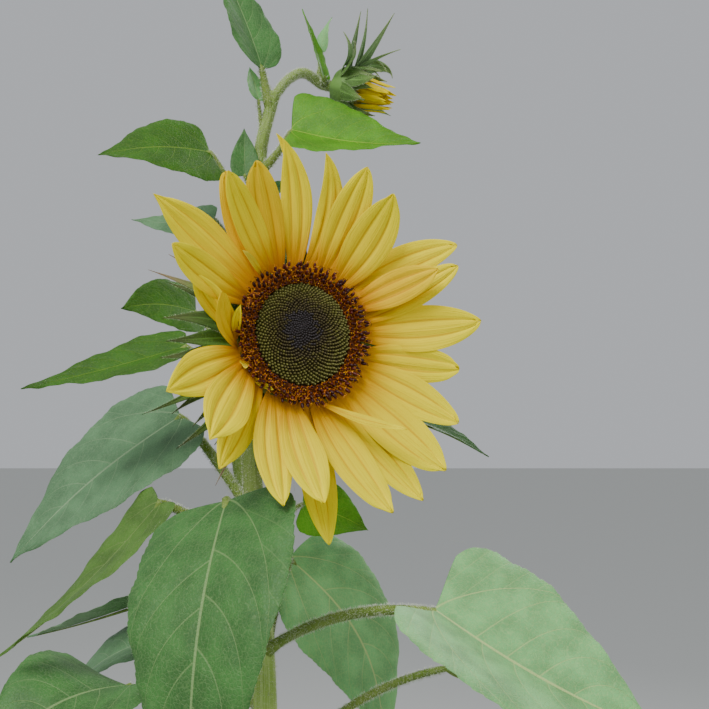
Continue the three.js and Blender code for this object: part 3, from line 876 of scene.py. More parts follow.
class Finish:
    """A material whose values come from procedural nodes."""

    def __init__(self, name, roughness=0.6, shine=0.4):
        self.material = bpy.data.materials.new(name)
        self.material.use_nodes = True
        self.tree = self.material.node_tree
        self.shader = self.tree.nodes["Principled BSDF"]
        self.shader.inputs["Roughness"].default_value = roughness
        self.shader.inputs["Specular IOR Level"].default_value = shine

    def link(self, value, socket):
        if isinstance(value, Value):
            self.tree.links.new(value.output, socket)
        else:
            socket.default_value = value

    def node(self, kind, settings, *values, **named):
        node = self.tree.nodes.new(kind)
        for key, value in settings.items():
            setattr(node, key, value)
        for socket, value in zip(node.inputs, values):
            self.link(value, socket)
        for key, value in named.items():
            self.link(value, node.inputs[key.replace("_", " ")])
        return node

    def place(self, stretch=(1, 1, 1)):
        """The place on the object, scaled."""
        node = self.node("ShaderNodeTexCoord", {})
        scaled = self.node("ShaderNodeMapping", {}, Value(self, node.outputs["Object"]), Scale=stretch)
        return Value(self, scaled.outputs[0])

    def height(self):
        """How high the place is above the ground, in metres."""
        parts = self.node("ShaderNodeSeparateXYZ", {}, self.place())
        return Value(self, parts.outputs[2])

    def pattern(self):
        """The pattern coordinates across and along a blade."""
        node = self.node("ShaderNodeUVMap", {"uv_map": "UVMap"})
        parts = self.node("ShaderNodeSeparateXYZ", {}, Value(self, node.outputs[0]))
        return Value(self, parts.outputs[0]), Value(self, parts.outputs[1])

    def point(self, x, y, z=0.0):
        node = self.node("ShaderNodeCombineXYZ", {}, x, y, z)
        return Value(self, node.outputs[0])

    def noise(self, place, scale, detail=3.0):
        node = self.node("ShaderNodeTexNoise", {}, Vector=place, Scale=scale, Detail=detail)
        return Value(self, node.outputs[0])

    def cell_edges(self, place, scale):
        node = self.node("ShaderNodeTexVoronoi", {"feature": "DISTANCE_TO_EDGE"}, Vector=place, Scale=scale)
        return Value(self, node.outputs["Distance"])

    def blend(self, share, first, second):
        node = self.node("ShaderNodeMix", {"data_type": "RGBA"})
        for value, index in ((share, 0), (first, 6), (second, 7)):
            self.link(value, node.inputs[index])
        return Value(self, node.outputs[2])

    def done(self, colour, height=None, depth=0.001):
        self.link(colour, self.shader.inputs["Base Color"])
        if height is not None:
            bump = self.node("ShaderNodeBump", {}, Distance=depth, Height=height)
            self.link(Value(self, bump.outputs[0]), self.shader.inputs["Normal"])
        return self.material


def plain(name, colour, roughness=0.6):
    """A finish of one colour."""
    return Finish(name, roughness).done(tone(colour))


def leaf_finish(name, look, under=False):
    """Leaf tissue with its veins; the under side is paler, with stronger veins."""
    upper, vein, below = (tone(colour) for colour in LOOKS[look])
    finish = Finish(name, 0.55, 0.35)
    across, along = finish.pattern()
    sided = across * 2 - 1
    spread = sided.size()
    right = sided.above(0.0)
    foot = along - spread ** FOOT_VEIN[1] * FOOT_VEIN[0]
    rise = along - spread * VEIN_SLOPE[0] - spread ** VEIN_SLOPE[2] * VEIN_SLOPE[1] - right * VEIN_SHIFT
    step = (rise - FIRST_VEIN) / VEIN_PERIOD
    lateral = (step - step.whole().at_least(0.0)).size() * VEIN_PERIOD
    outer_step = (along - spread * OUTER_SLOPE) / OUTER_PERIOD
    outer = (outer_step - outer_step.whole()).size() * OUTER_PERIOD
    inside = foot.above(0.0)
    thin = 1 - spread * 0.55
    side = (1 - (lateral / thin).ramp(0.0015, 0.0055)) * inside
    faint = (1 - outer.ramp(0.001, 0.004)) * (1 - inside)
    strong = 1 - (foot.size() / thin).ramp(0.003, 0.008)
    midrib = 1 - (spread / (along + 0.9)).ramp(0.009, 0.02)
    cross = ((spread * 9 + along * 4).fraction() - 0.5).size()
    branchlet = (1 - cross.ramp(0.01, 0.05)) * 0.12
    place = finish.place()
    net = 1 - finish.cell_edges(place, 420).ramp(0.02, 0.12)
    veins = (side * 0.6).at_least(strong * 0.75).at_least(midrib).at_least(faint * 0.3)
    lines = veins.at_least(branchlet).at_least(net * 0.2)
    patches = finish.noise(place, 60, 4.0)
    specks = finish.noise(place, 900, 2.0)
    ground = (below if under else upper)[:3]
    darker, lighter = ((*(min(1.0, part * scale) for part in ground), 1.0) for scale in (0.78, 1.2))
    tissue = finish.blend(patches.ramp(0.3, 0.7), darker, lighter)
    colour = finish.blend(lines * (0.9 if under else 0.8), tissue, vein)
    colour = finish.blend(specks.ramp(0.45, 0.8) * 0.22, colour, vein)
    height = specks * 0.2 + net * (0.3 if under else -0.25) + veins * (0.6 if under else -0.5)
    return finish.done(colour, height, 0.0005)


def bract_finish(name, green, tip, share=0.5):
    """A bract: green in lengthwise streaks, with a paler midrib and a withered tip."""
    finish = Finish(name, 0.6, 0.3)
    across, along = finish.pattern()
    streaks = finish.noise(finish.point(across * 14, along * 3), 1.0)
    specks = finish.noise(finish.place(), 900, 2.0)
    midrib = 1 - (across * 2 - 1).size().ramp(0.03, 0.14)
    colour = finish.blend(streaks.ramp(0.3, 0.7), tone(green, 0.85), tone(green))
    colour = finish.blend(midrib.at_least(specks.ramp(0.5, 0.8)) * 0.5, colour, tone(green, 1.35, 10))
    colour = finish.blend((along + streaks * 0.3).ramp(0.55, 1.1) * share, colour, tone(tip))
    return finish.done(colour, streaks + specks * 0.4, 0.0004)


def stem_finish(name, colour, shade, pale, head_shade=None):
    """Green skin in lengthwise streaks, with fine pale flecks, and, when a colour for it is given, painted
    shade that darkens it just under the head.
    """
    finish = Finish(name, 0.6, 0.3)
    streaks = finish.noise(finish.place((900, 900, 14)), 1.0)
    clouds = finish.noise(finish.place(), 35)
    flecks = finish.noise(finish.place((1, 1, 0.35)), 1300, 2.0)
    skin = finish.blend(clouds.ramp(0.35, 0.7), tone(shade), tone(colour))
    skin = finish.blend(streaks.ramp(0.45, 0.75) * 0.6, skin, tone(pale))
    skin = finish.blend(flecks.ramp(0.55, 0.75) * 0.5, skin, tone(pale))
    if head_shade is not None:
        # Painted shade: the skin darkens towards the given colour from 1.29 m up to the head
        skin = finish.blend(finish.height().ramp(1.29, 1.37, 0.0, 0.75), skin, tone(head_shade))
    return finish.done(skin, streaks + flecks * 0.5, 0.0005)


def ray_finish(name, foot, body, tip):
    """A petal: orange at its claw, partly its own colour and partly painted shade, then clear yellow, with
    fine lengthwise lines and painted shade along its two grooves.
    """
    finish = Finish(name, 0.55, 0.1)
    across, along = finish.pattern()
    streaks = finish.noise(finish.point(across * 22, along * 1.6), 1.0, 2.0)
    fine = finish.noise(finish.point(across * 60, along * 3.0, 2.0), 1.0, 2.0)
    clouds = finish.noise(finish.place(), 55, 2.0)
    rise = along + (streaks - 0.5) * 0.25
    # The claw's orange is partly the petal's own and partly painted shade at its foot
    colour = finish.blend(rise.ramp(0.02, 0.4), tone(foot), tone(body))
    colour = finish.blend((rise + clouds * 0.3).ramp(0.45, 1.1), colour, tone(tip))
    # Painted shade: the petal darkens to the claw's orange along its two grooves, where shade falls in the
    # creases
    groove = ((across * 2 - 1).size() - RAY_GROOVE).size()
    lines = (1 - groove.ramp(0.0, 0.09)) * (1 - along.ramp(0.7, 0.95)) * 0.55
    colour = finish.blend(lines.at_least(streaks.ramp(0.5, 0.75) * 0.35), colour, tone(foot))
    return finish.done(colour, (fine * 0.6 + streaks) * (1 - along.ramp(0.75, 0.95)), 0.0005)


# Leaves


def leaf_sizes(leaf):
    """A leaf's full sizes, with what the source gives every leaf that sets none."""
    length = leaf["size"][0]
    grown = {"fold": 10, "lobe": 0.1, "base": 0.6, "roll": (0, 0), "look": "mid", **leaf}
    grown["outline"] = leaf_outline(min(1, grown["base"] + 0.2))
    grown["thickness"] = max(length / 160, 0.5)
    return grown


def lower_leaves():
    """Leaves below the part that shows: by the golden angle, longest half way up, the oldest lowest."""
    for i in range(LOWER_LEAVES):
        height = LOWER_FIRST + i * LOWER_SPACING
        share = sin(pi * (height + 150) / 1500)
        length = mix(150, 240, share)
        around = (i * GOLDEN_ANGLE) % 360
        age = i / LOWER_LEAVES
        yield f"stem_leaf_{i + 1:02d}", {
            "on": "main",
            "height": height,
            "around": around,
            "petiole": (mix(70, 135, share), 48, 12),
            "size": (length, length * 0.8),
            "face": (around, around + 8),
            "droop": (mix(-22, -8, age), mix(-66, -46, age)),
            "fold": 6,
            "lobe": 0.14,
            "look": ("mid", "deep", "grey")[i % 3],
        }


def all_leaves():
    """Every leaf: its name, its sizes and the place it grows from."""
    limbs = {"main": MAIN, "branch": BRANCH}
    for name, leaf in (*LEAVES.items(), *lower_leaves()):
        yield name, leaf_sizes(leaf), at_height(limbs[leaf["on"]], leaf["height"])
    for name, leaf in BUD_LEAVES.items():
        yield name, leaf_sizes(leaf), along_path(STALK, np.array([leaf["share"]]))[0]


def petiole_path(leaf, root, steps=24):
    """The points of a petiole, whose rise turns evenly from its root to its blade."""
    length, rise, fall = leaf["petiole"]
    ways = heading(leaf["around"], mix(rise, fall, (np.arange(steps) + 0.5) / steps))
    return np.vstack([root, root + np.cumsum(ways, axis=0) * length / steps])


def petiole_mesh(leaf, path, points):
    """The petiole, and its midrib carried on under the blade, with its radius and its whole path."""
    t = np.linspace(0, 0.93, 60)
    thick = min(3.2, 0.7 + leaf["size"][0] * 0.014)
    rib = thick * mix(0.75, 0.1, t**0.6)
    _, _, up = blade_frame(leaf, t)
    under = along_path(points, t) - up * (rib * 0.8)[:, None]
    whole = np.vstack([path, under[3:]])
    lengths = lengths_along(whole)
    share = np.linspace(0, 1, len(whole))
    own = np.concatenate([thick * mix(1.18, 0.95, np.linspace(0, 1, len(path)) ** 3), rib[3:]])

    def radius(s, turn):
        run = np.interp(s, share, lengths)
        flare = 1 + 0.6 * np.exp(-np.maximum(run - 6, 0) / 7)
        ridges = 1 + 0.06 * np.cos(5 * turn)
        return np.interp(s, share, own) * flare * ridges

    return limb(whole, radius, 12, len(whole) * 2, 2), radius, whole


def leaf_piece(name, leaf, root, finishes, look):
    """One leaf: its blade, its petiole with the midrib, and its hairs."""
    path = petiole_path(leaf, root)
    start = path[-1]
    length = leaf["size"][0]
    phase = root[2] * 0.37
    leaf["relief"] = leaf_relief(length / 200 * look.quilting, length * look.ripple, look.curl, phase)
    leaf["edge"] = toothed(max(10, round(length / 6)), look.teeth)
    leaf["corner"] = rounded(0.14, 0.8)
    fine = (1 if length > 100 else 0.7) * (1.5 if name in NEAREST_LEAVES else 1)
    blade = blade_mesh(leaf, start, round(44 * fine), round(110 * fine))
    stalk, radius, whole = petiole_mesh(leaf, path, spine(leaf, start))
    show(name + "_fine", gathered([blade, stalk]), finishes, "leaf", (name,))
    seed = round(root[2] * 7 + root[0])
    stretch = lengths_along(path)[-1] / lengths_along(whole)[-1]
    density, hair = PETIOLE_HAIRS
    count = round(leaf["petiole"][0] * density)
    hair_on_limb("petioles", whole, radius, count, hair, seed, 0.2, 0.03, stretch)
    density, hair = LEAF_HAIRS
    hair_on_blade("leaves", leaf, start, round(length * density), hair, seed + 1)


def leaf_pieces(look):
    """Every leaf, with the finishes of its look."""
    finishes = {}
    for kind in LOOKS:
        finishes[kind] = [
            leaf_finish("leaf_" + kind, kind),
            leaf_finish("leaf_under_" + kind, kind, True),
            stem_finish("petiole_" + kind, (136, 158, 72), (102, 128, 42), (168, 184, 116)),
        ]
    for name, leaf, root in all_leaves():
        leaf_piece(name, leaf, root, finishes[leaf["look"]], look)


# Stems


def stem_pieces(look):
    """The main stem, the side branch and the bud's stalk, with their hairs."""
    green = chosen(look.stem_colour)
    # The main stem's green is partly its own and partly painted light, lighter than the branch's to stand in
    # for light on its low part
    main_skin = stem_finish("stem_skin", green, (150, 182, 80), (210, 226, 160), (92, 108, 48))
    branch_skin = stem_finish("branch_skin", (146, 170, 88), (122, 150, 64), (180, 198, 132))
    above = MAIN[MAIN[:, 2] >= 0]

    def main_radius(t, turn):
        height = along_path(above, t)[:, 2]
        waves = 0.6 * np.cos(9 * turn + height / 160) + 0.4 * np.cos(14 * turn - height / 90)
        return stem_radius(height) * (1 + look.ridges * waves)

    def branch_radius(t, turn):
        return mix(*BRANCH_RADIUS, t) * (1 + look.ridges * np.cos(7 * turn + 5 * t))

    def stalk_radius(t, turn):
        return mix(*STALK_RADIUS, t) * (1 + look.ridges * np.cos(6 * turn))

    limbs = (
        ("main_stem", above, main_radius, 64, 700, main_skin, 26000, 2.2),
        ("side_branch", BRANCH, branch_radius, 48, 260, branch_skin, 7000, 2.0),
        ("bud_stalk", STALK, stalk_radius, 36, 70, branch_skin, 2600, 1.8),
    )
    for seed, (name, path, radius, sides, steps, skin, hairs, length) in enumerate(limbs, 1):
        stem = limb(path, radius, sides, steps)
        for vertex in stem.verts:
            vertex.co.z = max(vertex.co.z, 0.0)
        show(name + "_fine", stem, [skin], "stem", (name,))
        hair_on_limb("stems", path, radius, hairs, length, seed)


# The open head


def thin_blade(size, face, droop, fold, outline, **more):
    """What petals and bracts have in common, with what one has of its own."""
    common = {"roll": (0, 0), "lobe": 0, "thickness": 0.5}
    return {**common, "size": size, "face": face, "droop": droop, "fold": fold, "outline": outline, **more}


def ray_relief(depth, phase):
    """Three lengthwise ridges with two sharp grooves between them, and a margin that turns a little."""

    def lift(q, t, half):
        groove = np.abs(q + 0.06 * np.sin(phase)) - RAY_GROOVE
        ridges = -np.exp(-((groove / 0.1) ** 2)) + 0.45 * np.exp(-((q / 0.22) ** 2)) - 0.5 * q**4
        ripple = 0.35 * np.sin(tau * (t * 1.6 + phase)) * q**3
        fade = np.clip(t * 3 + 0.15, 0, 1) * np.clip(half / 7, 0, 1) ** 1.4
        return depth * (ridges + ripple) * fade

    return lift


def notched(depth, phase):
    """A tip cut into two or three small teeth."""

    def cut(q, t):
        teeth = np.abs(np.sin(q * pi * 1.5 + phase))
        return depth * (1 - teeth) * np.clip((t - 0.8) * 5, 0, 1) ** 2

    return cut


def ray_pieces(look):
    """The collar that carries the petals, and every petal."""
    # Lemon is the petals' own yellow; gold is a copy darkened as painted shade and pale a copy lightened as
    # painted light
    tones = ("lemon", "gold", "pale")
    finishes = [
        ray_finish("ray_lemon", (208, 142, 0), chosen(look.petal_colour), (254, 238, 0)),
        ray_finish("ray_painted_shade_gold", (200, 128, 0), (240, 194, 0), (248, 214, 0)),
        ray_finish("ray_painted_light_pale", (250, 190, 20), (255, 226, 40), (255, 236, 70)),
        plain("ray_collar", (112, 112, 30)),
    ]
    low, high = RAY_LEVEL - 0.9, RAY_LEVEL + 0.3
    inner, outer = RAY_BASE - 1.5, RAY_BASE + 1.5
    profile = [(inner, low), (outer, low), (outer, high), (inner, high), (inner, low)]
    parts = [turned(profile, 96, 12, lambda z: len(tones))]
    for i, row in enumerate(RAYS + SHORT_RAYS):
        around, length, width, lift, turn, bend, roll, hook, blunt, colour = row
        way = around + turn
        ray = thin_blade(
            size=(length, width),
            face=(way - bend / 2, way + bend / 2),
            droop=(lift - 5, lift + 5),
            fold=8 + 2.6 * max(0, 18 - width),
            outline=ray_outline(blunt),
            roll=(roll, roll),
            hook=hook,
            relief=ray_relief(look.ray_folds, i * 2.3),
            notch=notched(look.ray_notch, i * 1.9),
        )
        start = polar(RAY_BASE, np.radians(around), RAY_LEVEL)
        parts.append(blade_mesh(ray, start, 26, 48, [tones.index(colour)] * 2, -0.06))
    show("ray_florets_fine", gathered(parts), finishes, "ray", ("ray_florets",), flower_place(HEAD))


def spiral(count, reach, spread):
    """Radii and angles of closed florets, packed in spirals out to `reach`."""
    n = np.arange(count) + 0.5
    return reach * (n / count) ** spread, np.radians(n * DISC_ANGLE)


def dome_height(share):
    """The disc's height above its own frame at a share of its radius."""
    return np.interp(share, (0, 0.3, 0.6, 0.85, 1.0), (2.6, 2.9, 3.0, 2.6, 1.6))


def disc_pieces(look):
    """The disc's closed buds in spirals, greener outwards, and the bed that they stand in."""
    head = flower_place(HEAD)
    chance = np.random.default_rng(11)
    count = look.disc_count
    radius, turn = spiral(count, DISC_RADIUS - 0.6, 0.58)
    share = radius / DISC_RADIUS
    size = np.interp(share, (0, 0.25, 0.6, 1), (0.7, 0.85, 0.98, 1.08))
    places = polar(radius, turn, dome_height(share) - 1.4)
    places[:, :2] += np.clip(1 - share, 0, 1)[:, None] * DISC_EYE + chance.normal(0, 0.1, (count, 2))
    out = polar((share - 0.35) * 0.35, turn, 1.0) + chance.normal(0, 0.06, (count, 3))
    height = size * chance.uniform(0.9, 1.15, count)
    axes = axes_from(out, np.stack([size, size, height], axis=-1), chance)
    profile = [(0, -1.0), (0.8, -1.0), (0.94, 0.1), (0.94, 0.8)]
    profile += [(0.7, 1.4), (0.42, 1.8), (0.3, 2.2), (0, 2.4)]
    # The top of each bud takes its own, lighter finish, a painted highlight
    bud = turned(profile, 8, slot_at=lambda z: int(z > 1.75), lobes=4, flare=0.16)
    share = share + chance.normal(0, 0.06, count)
    zone = np.select([share < 0.36, share < 0.56, share < 0.78], [0, 2, 4], 6)
    finishes = []
    # Each zone's second, lighter colour is painted highlight on the buds' tips, standing in for their shine
    for name, body, tip in (
        ("disc_core", (54, 48, 46), (84, 78, 82)),
        ("disc_middle", (62, 52, 26), (98, 90, 56)),
        ("disc_inner", (74, 68, 24), (116, 108, 56)),
        ("disc_outer", (92, 90, 32), (132, 128, 68)),
    ):
        finishes += [plain(name, body), plain(name + "_tip_highlight", tip)]
    spread_copies("disc_buds", bud, places, axes, finishes, "disc", zone, head)
    bed = turned([(0, -3.2), (31, -3.2), (31, 0.6), (26, 1.3), (12, 1.6), (0, 1.4)], 48, 24)
    show("disc_bed", bed, [plain("disc_bed", (48, 36, 12), 0.9)], "disc", ("disc_florets",), head)


def open_floret(ripe):
    """An open disc floret: its orange tube, its dark anthers and, once ripe, its two curled styles."""
    tube = [(0, -4), (0.8, -4), (0.7, -1), (0.95, 1.2), (1.75, 2.2), (1.35, 2.35), (0.7, 1.8), (0, 1.7)]
    anthers = [(0, 1.0), (0.95, 1.0), (1.15, 2.6), (1.2, 4.4), (1.0, 5.6), (0.5, 6.1), (0, 6.2)]
    parts = [turned(tube, 10, lobes=5, flare=0.3), turned(anthers, 8, slot_at=lambda z: 1)]
    bend = np.linspace(0, 1, 9)
    turn = bend * pi * 1.15
    for side in (-1, 1) if ripe else ():
        x = side * (0.15 + 1.1 * (1 - np.cos(turn)) / 1.2)
        path = np.stack([x, bend * 0, 5.9 + 1.3 * np.sin(turn) + 0.4 * bend], axis=-1)
        parts.append(limb(path, lambda t, a: 0.24 - 0.08 * t, 6, 10, 2))
    return gathered(parts)


def ring_pieces(look):
    """The ring's open florets, with pollen at their tips, and the bed that they stand in."""
    head = flower_place(HEAD)
    chance = np.random.default_rng(5)
    anthers = chosen(look.anther_colour)
    finishes = []
    for ending, *colours in (
        ("", (226, 150, 16), anthers, (196, 120, 40)),
        ("_deep", (196, 108, 8), (58, 12, 8), (84, 34, 16)),
    ):
        for part, colour, roughness in zip(("tube", "anthers", "style"), colours, (0.5, 0.45, 0.5)):
            finishes.append(plain("floret_" + part + ending, colour, roughness))
    groups = {True: [], False: []}
    for k, (radius, level, lean, size) in enumerate(FLORET_ROWS):
        for i in range(FLORETS_A_ROW):
            turn = (i + chance.uniform(-0.28, 0.28) + k * 0.5) * tau / FLORETS_A_ROW
            place = polar(radius + chance.normal(0, 0.45), turn, look.ring_level + level)
            tilt = np.radians(lean + chance.normal(0, 7))
            out = polar(np.sin(tilt), turn + chance.normal(0, 0.25), np.cos(tilt))
            ripe = k >= RIPE_ROW and chance.uniform() < 0.75
            grown = size * chance.uniform(0.85, 1.12)
            groups[ripe].append((place, out, grown, 3 * int(chance.uniform() < 0.5)))
    tips = np.array([place + out * 6.3 * size for place, out, size, _ in groups[True] + groups[False][::4]])
    tips = tips + chance.normal(0, 0.5, tips.shape)
    grain = bmesh.new()
    bmesh.ops.create_icosphere(grain, subdivisions=1, radius=1.0)
    sizes = chance.uniform(0.22, 0.4, (len(tips), 1))
    axes = axes_from(np.tile((0.0, 0.0, 1.0), (len(tips), 1)), sizes, chance)
    pollen = [plain("pollen", (240, 176, 10), 0.7)]
    spread_copies("pollen_grains", grain, tips, axes, pollen, "anther", 0, head)
    for ripe, rows in groups.items():
        places, out, sizes, first = (np.array(column) for column in zip(*rows))
        axes = axes_from(out, sizes[:, None], chance)
        name = "open_florets_ripe" if ripe else "open_florets_young"
        spread_copies(name, open_floret(ripe), places, axes, finishes, "anther", first, head)
    inner = DISC_RADIUS + 0.2
    profile = [(inner, -3.2), (RING_RADIUS, -3.2), (RING_RADIUS, -0.8)]
    profile += [(36, 0.6), (inner, 0.8), (inner, -3.2)]
    finish = plain("ring_bed", (104, 52, 8), 0.9)
    show("ring_bed", turned(profile, 64, 18), [finish], "anther", ("anther_ring",), head)


# Bracts


def bract_relief(q, t, half):
    """Faint lengthwise ridges."""
    return 0.4 * np.cos(q * pi * 3) * np.clip(t * 6, 0, 1) * np.clip(half / 5, 0, 1)


def bract_mesh(size, droop, around, bend, radius, level, place, seed, slots=(0, 1)):
    """A bract that leaves a flower's back at a place round it, with its hairs."""
    bract = thin_blade(size, (around - bend, around + bend), droop, 14, bract_outline, relief=bract_relief)
    start = polar(radius, np.radians(around), level)
    density, hair = BRACT_HAIRS
    hair_on_blade("bracts", bract, start, round(size[0] * density), hair, seed, place)
    return blade_mesh(bract, start, 10, 30, slots)


def head_back_piece():
    """The head's receptacle with its rows of bracts, the long ones that show past the petals, and hairs."""
    head = flower_place(HEAD)
    back = -HEAD_BACK_DEPTH
    slope = [(6, back), (7.4, back + 1.5), (10, back + 5), (17, back + 10), (26, -15), (33, -10.5), (37, -8)]
    profile = [(0, back), *slope, (38.5, -5.5), (38.5, -3.5), (30, -3.5), (0, -3.5)]
    parts = [turned(profile, 72, 70)]
    for k, (count, shift, radius, level, length, width, droop) in enumerate(BRACT_ROWS):
        for i in range(count):
            around = (i + shift) * 360 / count + 7
            bend = 12 * sin(i * 2.4)
            parts.append(bract_mesh((length, width), droop, around, bend, radius, level, head, 100 * k + i))
    for i, (around, length, width, bend, tip) in enumerate(LONG_BRACTS):
        slots = (2, 3) if tip == "pink" else (4, 1)
        parts.append(bract_mesh((length, width), (-4, -26), around, bend, 34, -9, head, 300 + i, slots))
    skins = [
        bract_finish("bract_face", (74, 112, 48), (110, 100, 60)),
        bract_finish("bract_back", (92, 132, 62), (120, 110, 70)),
        bract_finish("long_bract_face", (112, 150, 74), (164, 128, 104), 0.9),
        bract_finish("long_bract_back", (104, 142, 66), (150, 116, 92), 0.9),
        bract_finish("dark_bract_face", (96, 140, 50), (64, 56, 34), 0.8),
    ]
    show("head_back_fine", gathered(parts), skins, "bract", ("head_back",), head)
    chance = np.random.default_rng(21)
    turn = chance.uniform(0, tau, BACK_HAIRS)
    height = chance.uniform(back + 1, -6, BACK_HAIRS)
    radii, heights = zip(*slope)
    spots = polar(np.interp(height, heights, radii), turn, height)
    ways = unit(polar(1.0, turn, -0.6) + chance.normal(0, 0.25, (BACK_HAIRS, 3)))
    add_hairs("bracts", spots, ways, chance.uniform(0.6, 1.8, BACK_HAIRS), head)


# The half-open bud


def bud_pieces():
    """The bud's cup with its bracts, its yellow rays and the closed florets between them."""
    place = flower_place(BUD)
    r = BUD_RADIUS
    profile = [(0, -BUD_DEPTH), (4, -BUD_DEPTH), (8, -15), (r * 0.7, -13), (r * 0.88, -9), (r, -4)]
    profile += [(r, 2), (r * 0.95, 4.5), (r * 0.85, 6), (0, 6)]
    parts = [turned(profile, 48, 50, lambda z: 1)]
    for i in range(SHORT_BRACTS * 2):
        around = (i / 2 + 0.4) * 360 / SHORT_BRACTS
        inner = i % 2
        size = (32 - 5 * inner, 20 - 4 * inner)
        droop = (55 + 17 * inner, 95 + 3 * inner)
        radius, level = 12 + 4 * inner, -12 + 7 * inner
        parts.append(bract_mesh(size, droop, around, 8 * sin(i * 1.2), radius, level, place, 500 + i))
    for i, (around, length, width, level, *droop) in enumerate(BUD_BRACTS):
        bend = 6 * sin(i * 2.4)
        parts.append(bract_mesh((length, width), droop, around, bend, r - 1, level, place, 600 + i))
    skins = [
        bract_finish("bud_bract_face", (124, 162, 98), (156, 170, 100)),
        bract_finish("bud_bract_back", (88, 124, 56), (156, 176, 104)),
    ]
    show("bud_body_fine", gathered(parts), skins, "bract", ("bud_body",), place)
    rays = []
    for i in range(BUD_RAYS * 2):
        around = i * 180 / BUD_RAYS
        inner = i % 2
        ray = thin_blade(
            size=(27 + 2.5 * sin(i * 1.2) - 3 * inner, 5),
            face=(around, around + 8 * sin(i * 3.1)),
            droop=(99, 103 + 5 * sin(i * 0.85)),
            fold=24,
            outline=ray_outline(0.8),
            thickness=0.45,
            relief=ray_relief(0.5, i * 1.7),
        )
        start = polar(BUD_RAY_BASE - 0.5 - 2.2 * inner, np.radians(around), 5.5)
        rays.append(blade_mesh(ray, start, 10, 24, (0, 0)))
    yellow = ray_finish("bud_ray", (228, 178, 0), (246, 214, 0), (248, 226, 0))
    show("bud_rays_fine", gathered(rays), [yellow], "ray", ("bud_rays",), place)
    chance = np.random.default_rng(31)
    radius, turn = spiral(BUD_FLORETS, 11.5, 0.55)
    axes = axes_from(polar(radius * -0.03, turn, 1.0), 1.0, chance)
    places = polar(radius, turn, 6.6 - radius * 0.05)
    knob = turned([(0, -1), (0.8, -1), (0.9, 0.8), (0.4, 1.6), (0, 1.7)], 8)
    finishes = [plain("bud_floret", (128, 132, 40))]
    spread_copies("bud_florets", knob, places, axes, finishes, "disc", 0, place)


# The stage


def stage_pieces():
    """The floor, the sky, the lights and the camera."""
    floor = bmesh.new()
    bmesh.ops.create_grid(floor, x_segments=1, y_segments=1, size=FLOOR_SIZE)
    mesh = bpy.data.meshes.new("floor")
    floor.to_mesh(mesh)
    floor.free()
    mesh.materials.append(Finish("floor", 0.9).done(FLOOR_COLOUR))
    ground = placed("floor", mesh)
    ground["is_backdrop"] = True
    world = bpy.data.worlds.new("sky")
    world.use_nodes = True
    sky = world.node_tree.nodes["Background"]
    sky.inputs["Color"].default_value = SKY_COLOUR
    sky.inputs["Strength"].default_value = SKY_STRENGTH
    bpy.context.scene.world = world
    for name, (power, size, at, toward) in LIGHTS.items():
        lamp = bpy.data.lights.new(name, "AREA")
        lamp.energy = power
        lamp.size = size
        light = placed(name, lamp)
        light.location = at
        light.rotation_euler = (Vector(toward) - light.location).to_track_quat("-Z", "Y").to_euler()
        light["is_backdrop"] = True
    camera = placed("camera", bpy.data.cameras.new("camera"))
    camera.location = CAMERA_PLACE
    camera.rotation_euler = (pi / 2, 0, 0)
    camera.data.lens = CAMERA_LENS
    camera.data.sensor_width = 36
    camera.data.clip_start = 0.01
    bpy.context.scene.camera = camera
    camera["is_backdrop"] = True


# The add-on


def size_property(name, description, default):
    return FloatProperty(name=name, description=description + ", in millimetres", default=default)


def share_property(name, description, default):
    return FloatProperty(name=name, description=description, default=default, subtype="FACTOR")


def colour_property(name, description, *parts):
    default = [part / 255 for part in parts]
    return FloatVectorProperty(name=name, description=description, default=default, subtype="COLOR_GAMMA")


class SunflowerLook(bpy.types.PropertyGroup):
    """What a user may set before growing the plant."""

    quilting: size_property("Quilting", "How far leaf tissue is raised between the veins", 0.7)
    ripple: share_property("Ripple", "Wave of a leaf's margin, as a share of its length", 0.007)
    teeth: share_property("Teeth", "Depth of a leaf's teeth, as a share of its half width", 0.02)
    curl: share_property("Curl", "How far a leaf's edges turn down, as a share of its half width", 0.05)
    ridges: share_property("Ridges", "Relief round the stems, as a share of their radius", 0.03)
    ray_folds: size_property("Petal folds", "Depth of a petal's lengthwise grooves", 1.5)
    ray_notch: share_property("Petal notch", "Depth of a petal's tip teeth, as a share of its length", 0.05)
    disc_count: IntProperty(name="Disc buds", description="Closed florets on the disc", default=1000)
    ring_level: size_property("Ring level", "Height of the open florets' feet", 0.6)
    hair_length: share_property("Hair length", "Scale of every hair's length", 1.0)
    hair_width: share_property("Hair width", "Scale of every hair's width", 1.0)
    petal_colour: colour_property("Petal colour", "The middle of a petal", 250, 222, 0)
    anther_colour: colour_property("Anther colour", "The paler anthers of the ring", 84, 20, 8)
    # The stem colour's default is partly the stem's own green and partly painted light on its low part
    stem_colour: colour_property("Stem colour", "The main stem's skin", 178, 206, 108)


class SUNFLOWER_OT_stems(bpy.types.Operator):
    """Grow the main stem, the side branch and the bud's stalk"""

    bl_idname = "sunflower.stems"
    bl_label = "Grow Stems"

    def execute(self, context):
        stem_pieces(context.scene.sunflower)
        return {"FINISHED"}


class SUNFLOWER_OT_leaves(bpy.types.Operator):
    """Grow every leaf with its petiole"""

    bl_idname = "sunflower.leaves"
    bl_label = "Grow Leaves"

    def execute(self, context):
        leaf_pieces(context.scene.sunflower)
        return {"FINISHED"}


class SUNFLOWER_OT_rays(bpy.types.Operator):
    """Grow the head's yellow ray florets"""

    bl_idname = "sunflower.rays"
    bl_label = "Grow Ray Florets"

    def execute(self, context):
        ray_pieces(context.scene.sunflower)
        return {"FINISHED"}


